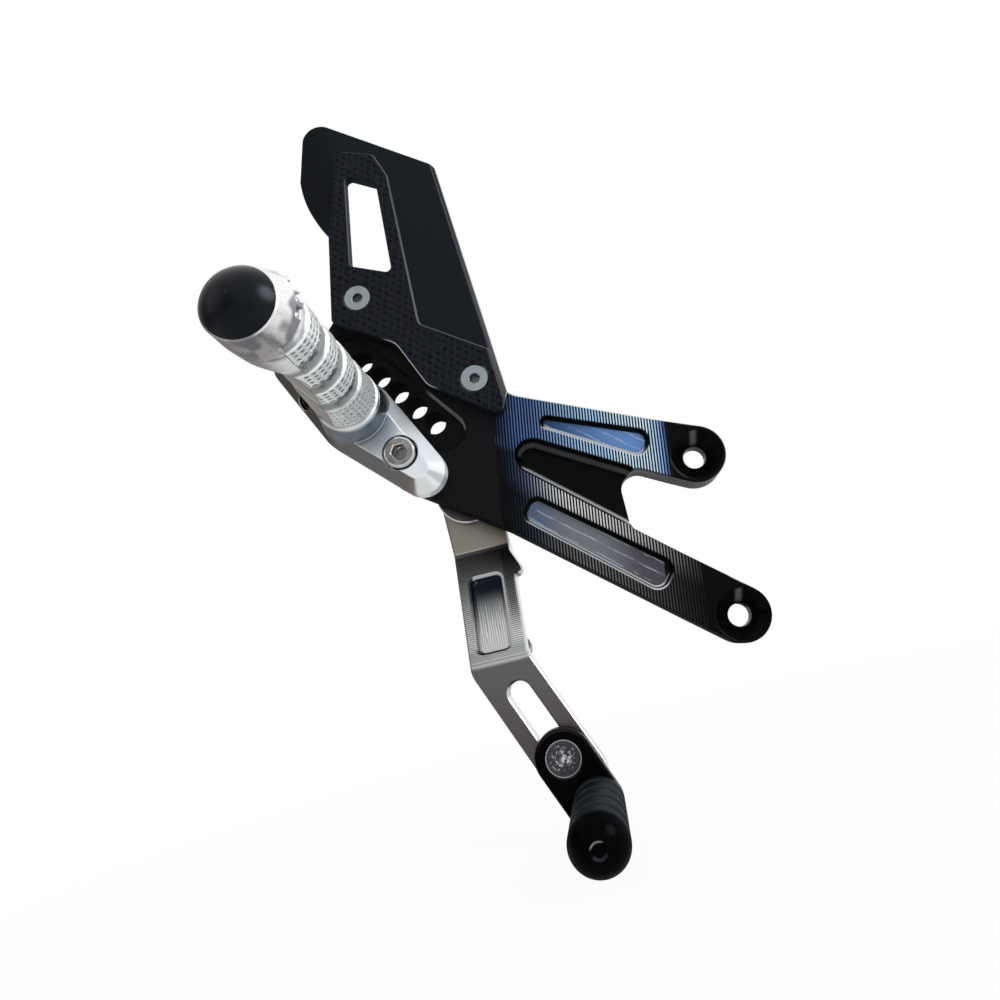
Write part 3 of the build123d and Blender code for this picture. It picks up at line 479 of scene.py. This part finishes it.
# Painted shade darkens the knurl's pits.
pit_shade = marked(place, "pit").ramp(0.08, 0.6) * (0.82 - speckle * 0.7)
colour = painted(
    grain(place, 8).ramp(0.3, 0.7).blend((0.86, 0.87, 0.88), (0.98, 0.98, 0.98)),
    (shaded_underside * 0.85, (0.3, 0.29, 0.275)),
    (shaded_groove * 0.8, groove_shading),
    (flange_under_shade * 0.75, (0.34, 0.31, 0.3)),
    (flange_dark_reflection * 0.85, (0.16, 0.17, 0.19)),
    (on_land * 0.9, (0.94, 0.98, 0.99)),
    (pit_shade, (0.13, 0.16, 0.16)),
    (on_land * speckle * 0.4, (0.2, 0.22, 0.23)),
)
bare = 1 - bare_top - on_land * 0.6
end_finish(peg_silver, colour, fine * 0.08 + 0.24, metallic=bare, height=grain(place, 5, 1), depth=0.25)
dress("foot_peg", peg_silver, "bracket", "peg_silver", edge=0.4)


# Knurled lands
# The peg's own metal between its grooves, rolled into ribs around square pits for the boot's grip.
# Each land is a grid wrapped around the peg. It leans as the grooves do and dips in at the flat side.
foot_land_start = 3.0
land_radius = 12.2
rib_height = 0.42
sunk_edge = 0.3
groove_half = 3.2
flat_turn = radians(3.2)
flat_foot = 10.0
flat_head = 4.9
flat_cover = 0.35
foot_length = 2.4
ramp_start = 44.0
ramp_bow = 37.63
flat_fall = (flat_head - flat_foot) / (ramp_start - foot_length)
sideways = (-sin(peg_lean), cos(peg_lean))

knurl = bpy.data.node_groups.new("knurled_land", "GeometryNodeTree")
for name, kind in (
    ("Start", "Float"), ("Length", "Float"), ("Radius", "Float"), ("Rib", "Float"), ("Lean", "Float"),
    ("Cells along", "Int"), ("Cells around", "Int"), ("Steps", "Int"),
):
    knurl.interface.new_socket(name=name, in_out="INPUT", socket_type="NodeSocket" + kind)
knurl.interface.new_socket(name="Geometry", in_out="OUTPUT", socket_type="NodeSocketGeometry")
given = knurl.nodes.new("NodeGroupInput")
start, length, radius, rib, lean, cells_along, cells_around, steps = [
    Flow(knurl, socket) for socket in given.outputs[:8]
]
grid = start.add("GeometryNodeMeshGrid", {}, {
    "Size X": 1.0,
    "Size Y": 1.0,
    "Vertices X": cells_along * steps + 1,
    "Vertices Y": cells_around * steps + 1,
})
grid_x, round_share, _ = start.add("GeometryNodeInputPosition", {}, {}).split()
share = grid_x + 0.5
turn = round_share * (-2 * pi)
pit_along = (share * cells_along).wave(1).ramp(0.2, 0.75)
pit_around = (round_share * cells_around).wave(1).ramp(0.2, 0.75)
wear_and_highlight = start.add("ShaderNodeTexNoise", {}, {"Scale": cells_around * 0.45, "Detail": 1.0})
pit_depth = pit_along * pit_around * wear_and_highlight.ramp(0.3, 0.55)
inside = share.band(0.0, 0.05, 0.95, 1.0)
reach = radius - sunk_edge + inside * (sunk_edge + rib * (1 - pit_depth))
up_part = reach * turn.maths("COSINE", turn)
side_part = reach * turn.maths("SINE", turn)
height = start + share * length - up_part * lean
flat = height.smaller(ramp_start) * flat_fall + flat_foot - foot_length * flat_fall
beyond = (height - ramp_start).larger(0.0).smaller(ramp_bow * 0.9)
flat = flat + ramp_bow - (ramp_bow ** 2 - beyond * beyond) ** 0.5
down = -peg_rise - up_part
past_flat = down * cos(flat_turn) - side_part * sin(flat_turn) - flat + flat_cover
past_flat = past_flat.larger(0.0)
down = down - past_flat * cos(flat_turn)
side_part = side_part + past_flat * sin(flat_turn)
spot = start.add("ShaderNodeCombineXYZ", {}, {
    0: (side_part * sideways[0] + down * ground[0] + peg_axis[0]) / 1000,
    1: (peg_foot - height) / 1000,
    2: (side_part * sideways[1] + down * ground[1] + peg_axis[1]) / 1000,
})
kept = start.add("GeometryNodeStoreNamedAttribute", {}, {"Geometry": grid, "Name": "pit", "Value": pit_depth})
kept = start.add("GeometryNodeStoreNamedAttribute", {}, {"Geometry": kept, "Name": "land", "Value": 1.0})
wrapped = start.add("GeometryNodeSetPosition", {}, {"Geometry": kept, "Position": spot})
smooth = start.add("GeometryNodeSetShadeSmooth", {}, {0: wrapped})
real = start.add("GeometryNodeRealizeInstances", {}, {0: smooth})
knurled = start.add("GeometryNodeSetMaterial", {}, {"Geometry": real, "Material": peg_silver})
result = knurl.nodes.new("NodeGroupOutput")
knurl.links.new(knurled.socket, result.inputs[0])

# A land's name, its start and end above the peg's foot, its rows and columns of pits, and the grid's
# steps in each pit.
lands = [("knurl_foot", foot_land_start, groove_first - groove_half, 6, 42, 5)]
for count, name in enumerate(("knurl_first", "knurl_second", "knurl_third")):
    groove = groove_first + count * groove_pitch
    lands.append((name, groove + groove_half, groove + groove_pitch - groove_half, 4, 30, 6))
identifiers = {item.name: item.identifier for item in knurl.interface.items_tree if item.in_out == "INPUT"}
for name, low_end, high_end, rows, columns, fineness in lands:
    blank = bpy.data.objects.new(name + "_blank", bpy.data.meshes.new(name + "_blank"))
    bpy.context.scene.collection.objects.link(blank)
    modifier = blank.modifiers.new("knurl", "NODES")
    modifier.node_group = knurl
    for key, value in (
        ("Start", low_end), ("Length", high_end - low_end), ("Radius", land_radius), ("Rib", rib_height),
        ("Lean", groove_lean), ("Cells along", rows), ("Cells around", columns), ("Steps", fineness),
    ):
        modifier[identifiers[key]] = value
    ready = blank.evaluated_get(bpy.context.evaluated_depsgraph_get())
    land = bpy.data.objects.new(name, bpy.data.meshes.new_from_object(ready))
    bpy.data.objects.remove(blank)
    bpy.context.scene.collection.objects.link(land)
    land.data.materials.clear()
    put_on(land, peg_silver, "bracket", "peg_silver")


# End plug
# A glossy black dome moulded in plastic. Its spigot is pressed into the bore in the peg's end, and
# its edge stops just inside the peg's rim.
plug_black, place = start_finish("plug_black", Specular_IOR_Level=0.2, Specular_Tint=(0.75, 0.86, 1.0, 1))
fine = grain(place, 0.4)
colour = grain(place, 6).blend((0.0012, 0.0015, 0.0022), (0.0022, 0.0026, 0.004))
end_finish(plug_black, colour, fine * 0.04 + 0.24, height=fine, depth=0.004)
dress("peg_end_plug", plug_black, "bracket", "plug_black", edge=0.3)


# Heel guard
# A black anodised plate with a window. A woven pattern is cut into one field, a smooth field lies
# lower beside it, and two countersunk screws hold it on the hub.
guard_front = -24.6
across_weave = (0.97, -0.24)
along_weave = (0.24, 0.97)
column_pitch = 3.0
dash_pitch = 3.1

guard_black, place = start_finish("guard_black", Specular_IOR_Level=0.05)
x, y, z = place.split()
side_x, side_y, side_z = facing(place)
rim = marked(place, "rim")
raised = y.ramp(guard_front + 0.35, guard_front + 0.15)
column = along(across_weave, x, z) / column_pitch + grain(place, 4) * 0.9
in_column = column.fraction()
dash = (along(along_weave, x, z) + grain(place, 2.6) * 3.0) / dash_pitch
dash = (dash + column.maths("FLOOR", column) * 0.5 + in_column * 0.4).fraction()
mark = dash.band(0.02, 0.16, 0.36, 0.52) * in_column.band(0.08, 0.25, 0.75, 0.95)
mark = mark * (grain(place, 3.5).ramp(0.35, 0.6) * 0.75 + 0.3)
thread = abs(in_column - 0.5).ramp(0.36, 0.5)
woven_field = painted(
    grain(place, 2.4, 2).ramp(0.35, 0.65).blend((0.008, 0.0125, 0.015), (0.014, 0.0125, 0.02)),
    (mark * 0.9, (0.0014, 0.0018, 0.0034)),
    (thread * grain(place, 1.9).ramp(0.38, 0.62) * 0.4, (0.026, 0.03, 0.036)),
)
lobe = x.ramp(-118, -132) * z.ramp(165, 180)
smooth_field = painted(
    (grain(place, 0.7) * 0.7 + 0.1).blend((0.0075, 0.0098, 0.0128), (0.0098, 0.0122, 0.016)),
    (lobe * 0.55, (0.002, 0.0026, 0.0034)),
)
# The right bevel carries a painted sheen, with painted shadow at its lower end.
bevel = side_x.band(0.5, 0.62, 0.75, 0.85) * side_y.ramp(-0.5, -0.62)
bevel_sheen = z.band(66, 84, 100, 190).blend((0.014, 0.015, 0.018), (0.07, 0.068, 0.066))
# Painted highlights lie on the rounded edges that face right and up, and on an inner edge.
lit_edge = rim * along((0.8, 0.4), side_x, side_z).ramp(0.1, 0.5)
lit_edge = lit_edge * (side_x.ramp(0.1, 0.5) * y.ramp(guard_front + 0.9, guard_front + 1.6) * 0.6 + 0.16)
inner_edge_highlight = rim * along((-0.91, -0.41), side_x, side_z).ramp(0.3, 0.6) * z.band(84, 88, 110, 114)
colour = painted(
    raised.blend(smooth_field, woven_field),
    (bevel, bevel_sheen),
    (lit_edge, (0.42, 0.44, 0.48)),
    (inner_edge_highlight * 0.9, (0.55, 0.55, 0.54)),
)
height = raised * (thread * 0.5 - mark)
end_finish(guard_black, colour, grain(place, 0.5) * 0.12 + 0.42, height=height, depth=0.12)
dress("heel_guard", guard_black, "bracket", "guard_black", edge=0.4)


# Guard screws
# Two countersunk socket screws of zinc plated steel. Their heads lie flush in the guard's face, and
# they go through it into tapped holes in the hub.
zinc, place = start_finish("screw_zinc", Metallic=1.0)
fine = grain(place, 0.5)
turned = own_radius(place)
# Painted shade darkens the middle of each head around its socket.
colour = painted(
    fine.ramp(0.25, 0.75).blend((0.24, 0.28, 0.3), (0.42, 0.47, 0.5)),
    (turned.ramp(2.5, 1.9) * 0.8, (0.06, 0.075, 0.08)),
)
end_finish(zinc, colour, fine * 0.15 + 0.3, height=turned.wave(0.7) * 0.6 + fine, depth=0.05)
for node in ("guard_screw_upper", "guard_screw_lower"):
    dress(node, zinc, "bracket", "screw_zinc", edge=0.25)


# Brake lever
# A grey anodised aluminium lever that steps forward past the hub. Its inclined stretch keeps the
# cutter's lines and a pocket, and its flat foot has a slot for the toe piece.
pivot_x = -98.5
pivot_z = 43.5
top_bend = 18.0
low_bend = -31.0
low_front = -27.0
low_x = -96.9
lever_line_pitch = 0.84
pocket_line_pitch = 0.95
incline = atan(-low_front / (top_bend - low_bend))
drift = (low_x - pivot_x) / (pivot_z - low_bend)

lever_grey, place = start_finish("lever_grey", Metallic=1.0)
x, y, z = place.split()
side_x, side_y, side_z = facing(place)
rim = marked(place, "rim")
on_incline = z.below(top_bend, 0.8) * z.above(low_bend, 0.8)
depth = (y - (z - top_bend) * tan(incline)) * cos(incline)
from_middle = x - pivot_x - (pivot_z - z) * drift
side_up = side_y * sin(incline) + side_z * cos(incline)

# The inclined stretch carries a painted reflection that goes from dark to light on its way down, painted
# sheen on the cutter's lines, and a dark strip of painted reflection on the pocket's right.
cutter = z.wave(lever_line_pitch)
down = z.ramp(top_bend - 2, low_bend + 4)
line_share = cutter.ramp(0.4, 0.8) * (z.ramp(low_bend + 4, low_bend + 9) * 0.7 + 0.2)
dark_reflection_strip = from_middle.ramp(6.8, 8.4) * z.band(-22, -6, top_bend - 4, top_bend)
incline_reflection = painted(
    down.blend((0.034, 0.036, 0.035), (0.33, 0.34, 0.34)),
    (line_share, down.blend((0.19, 0.19, 0.185), (0.9, 0.91, 0.91))),
    (dark_reflection_strip * (0.85 - cutter.ramp(0.5, 0.9) * 0.35), (0.02, 0.024, 0.026)),
)

# The pocket's floor has lengthwise tool marks, drawn out along the lever. Its colour is a painted
# reflection, dark at the top and light at the bottom, with painted sheen along the marks.
drawn_out = place.add("ShaderNodeVectorMath", {"operation": "MULTIPLY"}, {0: place, 1: (1.0, 0.1, 0.1)})
tool_mark = (from_middle + grain(drawn_out, 2.2) * 1.5).wave(pocket_line_pitch)
mark_sheen = z.tones((0.12, 0.14, 0.16), (0, -18, (0.9, 0.9, 0.88)))
pocket_reflection = painted(
    z.tones((0.016, 0.022, 0.034), (0, -19, (0.6, 0.61, 0.61))),
    (tool_mark.ramp(0.45, 0.9) * z.band(-25, -18, -8, 0) * 0.55, mark_sheen),
    (tool_mark.ramp(0.3, 0.0) * z.band(-25, -17, -8, -2) * 0.6, (0.12, 0.125, 0.13)),
)
in_pocket = depth.ramp(0.5, 1.0) * side_y.ramp(-0.5, -0.8) * on_incline
pocket_wall = depth.band(0.1, 0.3, 2.4, 2.6) * abs(from_middle).ramp(8.4, 8.0) * on_incline
near_pocket = abs(from_middle).ramp(9.2, 8.8) * on_incline
# Pocket walls: painted shade on the left one, a painted highlight on the right, painted shadow at the sill.
left_wall_shade = z.tones((0.014, 0.017, 0.024), (-2, -20, (0.16, 0.165, 0.17)))
right_wall = pocket_wall * side_x.ramp(-0.15, -0.4)
side_highlight = (side_x * -0.8 - side_up * 0.9).ramp(0.1, 0.35) * near_pocket * side_y.ramp(0.0, -0.1)
side_highlight = side_highlight * depth.band(-0.1, 0.05, 0.9, 1.3)
sill_shadow = (rim + pocket_wall).ramp(0.2, 0.6) * near_pocket * side_up.ramp(0.25, 0.45) * z.ramp(-18, -21)

# Painted highlights lie along the two bends.
crease_highlight = z.band(top_bend - 1.6, top_bend - 1.2, top_bend + 0.8, top_bend + 1.2)
crease_highlight = crease_highlight + z.band(low_bend - 0.6, low_bend - 0.2, low_bend + 3.0, low_bend + 3.4)
crease_highlight = crease_highlight * z.wave(1.4).ramp(0.5, 0.95)
# Rounded edges that face right and up carry a painted highlight, weaker beside the pocket.
lit_rim = rim * (side_x + side_z).ramp(-0.1, 0.4) * (0.7 - near_pocket * 0.45)
head_tone = grain(place, 5).blend((0.3, 0.275, 0.23), (0.36, 0.33, 0.28))
# The foot's tone is a painted reflection, darker towards the bottom.
foot_reflection = z.tones((0.165, 0.158, 0.16), (low_bend, -70, (0.115, 0.098, 0.102)))
# Walls that face right carry a painted highlight.
colour = painted(
    z.below(low_bend, 1).blend(head_tone, foot_reflection),
    (on_incline, incline_reflection),
    (in_pocket, pocket_reflection),
    (side_x.ramp(0.35, 0.7) * 0.9, (0.9, 0.94, 0.97)),
    (crease_highlight * 0.6, (0.7, 0.69, 0.66)),
    (lit_rim, (0.85, 0.86, 0.87)),
    (near_pocket * side_x.ramp(0.12, 0.35), left_wall_shade),
    (right_wall, pocket_reflection),
    (side_highlight * 0.9, (0.6, 0.61, 0.61)),
    (sill_shadow * 0.9, (0.05, 0.055, 0.055)),
)
bare = 1 - (side_highlight * 0.9).larger(right_wall * z.ramp(-2, -16) * 0.7)
cut = cutter * on_incline * (1 - in_pocket) + tool_mark * in_pocket
end_finish(lever_grey, colour, grain(place, 0.6) * 0.1 + 0.28, metallic=bare, height=cut, depth=0.06)
dress("lever", lever_grey, "brake_lever", "lever_grey", edge=0.6)


# Lever pivot and spring post
# The lever turns on two sintered bronze bushes over a steel shoulder bolt from behind, with a washer
# and a silver spacer beside them. A steel post screwed into its back takes the return spring.
dress("spring_post", steel, "brake_lever", "bolt_steel", edge=0.3)

bronze, place = start_finish("bush_bronze", Metallic=1.0)
fine = grain(place, 0.5)
colour = fine.blend((0.45, 0.3, 0.14), (0.62, 0.44, 0.22))
end_finish(bronze, colour, fine * 0.2 + 0.3, height=fine, depth=0.02)
for node in ("pivot_bush_front", "pivot_bush_back"):
    dress(node, bronze, "brake_lever", "bush_bronze", edge=0.15)

dark_silver, place = start_finish("spacer_silver", Metallic=1.0)
fine = grain(place, 0.5)
# The spacer is much darker than the other silver parts, with a painted highlight on its rounded edges.
colour = painted(
    fine.blend((0.07, 0.066, 0.06), (0.13, 0.125, 0.12)),
    (marked(place, "rim") * 0.8, (0.9, 0.9, 0.9)),
)
end_finish(dark_silver, colour, fine * 0.1 + 0.2, height=fine, depth=0.01)
for node, finish, slot in (
    ("pivot_bolt", steel, "bolt_steel"),
    ("pivot_washer", steel, "bolt_steel"),
    ("pivot_spacer", dark_silver, "carrier_silver"),
):
    dress(node, finish, "bracket", slot, edge=0.5)


# Toe link and toe peg
# A black anodised link that is clamped in the lever's slot, and the ribbed peg that it carries for
# the toe of the boot, turned with four grooves and a dimple in its domed end.
toe_peg_root = -35.0
toe_groove_first = -43.0
toe_groove_pitch = 12.0
toe_groove_count = 4
toe_groove_last = toe_groove_first - (toe_groove_count - 1) * toe_groove_pitch
toe_dome = -87.5
dimple_radius = 2.4

toe_black, place = start_finish("toe_black", Specular_IOR_Level=0.02)
_, y, _ = place.split()
_, _, side_z = facing(place)
own_x, own_y, own_z = own_place(place)
fine = grain(place, 0.5)
on_peg = y.ramp(toe_peg_root, toe_peg_root - 1)
step = (toe_groove_first - y) / toe_groove_pitch + 0.5
grooved = y.band(toe_groove_last - 3, toe_groove_last - 2, toe_groove_first + 2, toe_groove_first + 3)
# Painted shade darkens the grooves.
shaded_groove = abs(step.fraction() - 0.5).ramp(0.125, 0.105) * grooved
# A painted highlight lies on the upper rim of the dimple.
wear_and_highlight = abs(distance(own_x, own_z) - dimple_radius).ramp(0.45, 0.1) * (own_z - own_x * 0.3).ramp(1.3, 2.2)
wear_and_highlight = wear_and_highlight * own_y.ramp(-20, -22) * on_peg
# Rounded edges that face up carry a faint painted highlight.
colour = painted(
    grain(place, 4).blend((0.001, 0.001, 0.0012), (0.002, 0.002, 0.0024)),
    (on_peg, grain(place, 3).blend((0.004, 0.0075, 0.0105), (0.0065, 0.0105, 0.014))),
    (shaded_groove, (0.0004, 0.0005, 0.0008)),
    (y.ramp(toe_dome, toe_dome - 2), (0.001, 0.0012, 0.0016)),
    (wear_and_highlight * 0.8, (0.3, 0.31, 0.33)),
    (marked(place, "rim") * side_z.ramp(0.1, 0.6) * 0.12, (0.2, 0.21, 0.24)),
)
roughness = fine * 0.06 + 0.2 + on_peg * y.ramp(toe_dome - 3.5, toe_dome - 0.5) * 0.3
end_finish(toe_black, colour, roughness, height=fine, depth=0.004)
for node in ("toe_arm", "toe_peg"):
    dress(node, toe_black, "toe_piece", "toe_black", edge=0.4)


# Toe clamp
# A blackened countersunk screw clamps the link in the slot, with a plain washer and nut behind the
# lever. A steel bolt through the link holds the toe peg.
dark_steel, place = start_finish("screw_dark", Metallic=1.0)
fine = grain(place, 0.5)
turned = own_radius(place)
# Painted highlights lie in the socket, on a ring around it and on the head's outer edge.
colour = painted(
    fine.ramp(0.3, 0.7).blend((0.04, 0.042, 0.046), (0.08, 0.083, 0.09)),
    (turned.ramp(3.2, 2.7) * grain(place, 1.4).ramp(0.4, 0.6), (0.85, 0.87, 0.9)),
    (turned.ramp(5.4, 4.6) * grain(place, 1.1).ramp(0.56, 0.64) * 0.6, (0.6, 0.62, 0.65)),
    (turned.ramp(6.0, 6.4) * 0.8, (0.5, 0.51, 0.54)),
)
end_finish(dark_steel, colour, fine * 0.1 + 0.2, height=turned.wave(1.1) * 0.4 + fine, depth=0.012)
dress("toe_screw", dark_steel, "toe_slider", "screw_dark", edge=0.25)
for node in ("toe_washer", "toe_nut"):
    dress(node, steel, "toe_slider", "bolt_steel", edge=0.3)
dress("toe_peg_bolt", steel, "toe_piece", "bolt_steel", edge=0.3)


# Studio
# The photograph's camera stands close in front of the hub and looks slightly up. A pale floor, a
# white surround and two large soft lamps light the part.
camera = bpy.data.objects.new("camera", bpy.data.cameras.new("camera"))
bpy.context.scene.collection.objects.link(camera)
right = Vector((0.97127, 0.07431, -0.22608))
up = Vector((0.23651, -0.19604, 0.95165))
stand = Vector((-0.05807, -0.294, -0.03422))
camera.matrix_world = Matrix.Translation(stand) @ Matrix((right, up, right.cross(up))).transposed().to_4x4()
camera.data.sensor_width = 36.0
camera.data.lens = 24.84
camera.data.shift_x = -0.048
camera.data.shift_y = 0.010
camera.data.clip_start = 0.01
bpy.context.scene.camera = camera

# The floor is pale to the part and almost white to the camera.
floor_half = 3.0
floor_gap = 0.0005
floor_level = cad_box[0][2] - floor_gap
corners = [
    (floor_half * to_x, floor_half * to_y, floor_level)
    for to_x, to_y in ((-1, -1), (1, -1), (1, 1), (-1, 1))
]
floor_mesh = bpy.data.meshes.new("floor")
floor_mesh.from_pydata(corners, [], [(0, 1, 2, 3)])
floor = bpy.data.objects.new("floor", floor_mesh)
bpy.context.scene.collection.objects.link(floor)
pale = bpy.data.materials.new("pale_floor")
pale.use_nodes = True
tree = pale.node_tree
shader = tree.nodes["Principled BSDF"]
shader.inputs["Base Color"].default_value = (0.85, 0.85, 0.85, 1)
shader.inputs["Roughness"].default_value = 0.9
glow = tree.nodes.new("ShaderNodeEmission")
seen = Flow(tree, tree.nodes.new("ShaderNodeLightPath").outputs["Is Camera Ray"])
floor_x, floor_y, _ = Flow(tree, tree.nodes.new("ShaderNodeTexCoord").outputs["Object"]).split()
white_share = distance(floor_x, floor_y).ramp(0.15, 0.55) * 0.05 + 0.95
mixed = seen.add("ShaderNodeMixShader", {}, {
    0: seen * white_share, 1: Flow(tree, shader.outputs[0]), 2: Flow(tree, glow.outputs[0]),
})
tree.links.new(mixed.socket, tree.nodes["Material Output"].inputs["Surface"])
floor_mesh.materials.append(pale)

for name, spot, aim, size, watts in (
    ("key", (0.62, -0.42, 0.45), (-0.05, 0, 0.05), 0.5, 4.0),
    ("fill", (-0.7, -0.5, 0.35), (-0.08, 0, 0.05), 0.6, 0.5),
):
    light = bpy.data.lights.new(name, "AREA")
    light.shape = "DISK"
    light.size = size
    light.energy = watts
    lamp = bpy.data.objects.new(name, light)
    bpy.context.scene.collection.objects.link(lamp)
    turn = (Vector(aim) - Vector(spot)).to_track_quat("-Z", "Y")
    lamp.matrix_world = Matrix.Translation(spot) @ turn.to_matrix().to_4x4()

# The surround is white to the camera. In reflections it is brighter at the right and the top, and
# warmer at the lower left.
diffuse_strength = 0.6
world = bpy.data.worlds.new("studio")
bpy.context.scene.world = world
world.use_nodes = True
tree = world.node_tree
sky = tree.nodes["Background"]
ray = tree.nodes.new("ShaderNodeLightPath")
camera_ray = Flow(tree, ray.outputs["Is Camera Ray"])
glossy_ray = Flow(tree, ray.outputs["Is Glossy Ray"])
to_right, to_back, to_top = Flow(tree, tree.nodes.new("ShaderNodeTexCoord").outputs["Generated"]).split()
to_light = to_right * 0.8 + to_top * 0.5
surround = to_light.ramp(-0.62, 0.4) * 0.74 + 0.18 + to_back.ramp(0, 0.6) * 0.08
strength = camera_ray.larger(glossy_ray * surround).larger((1 - glossy_ray) * diffuse_strength)
tree.links.new(strength.socket, sky.inputs["Strength"])
warmth = (glossy_ray * to_light.ramp(0.1, -0.6)).blend((1.0, 1.0, 1.0), (1.0, 0.94, 0.88))
tree.links.new(warmth.socket, sky.inputs["Color"])
bpy.context.scene.view_settings.view_transform = "Standard"
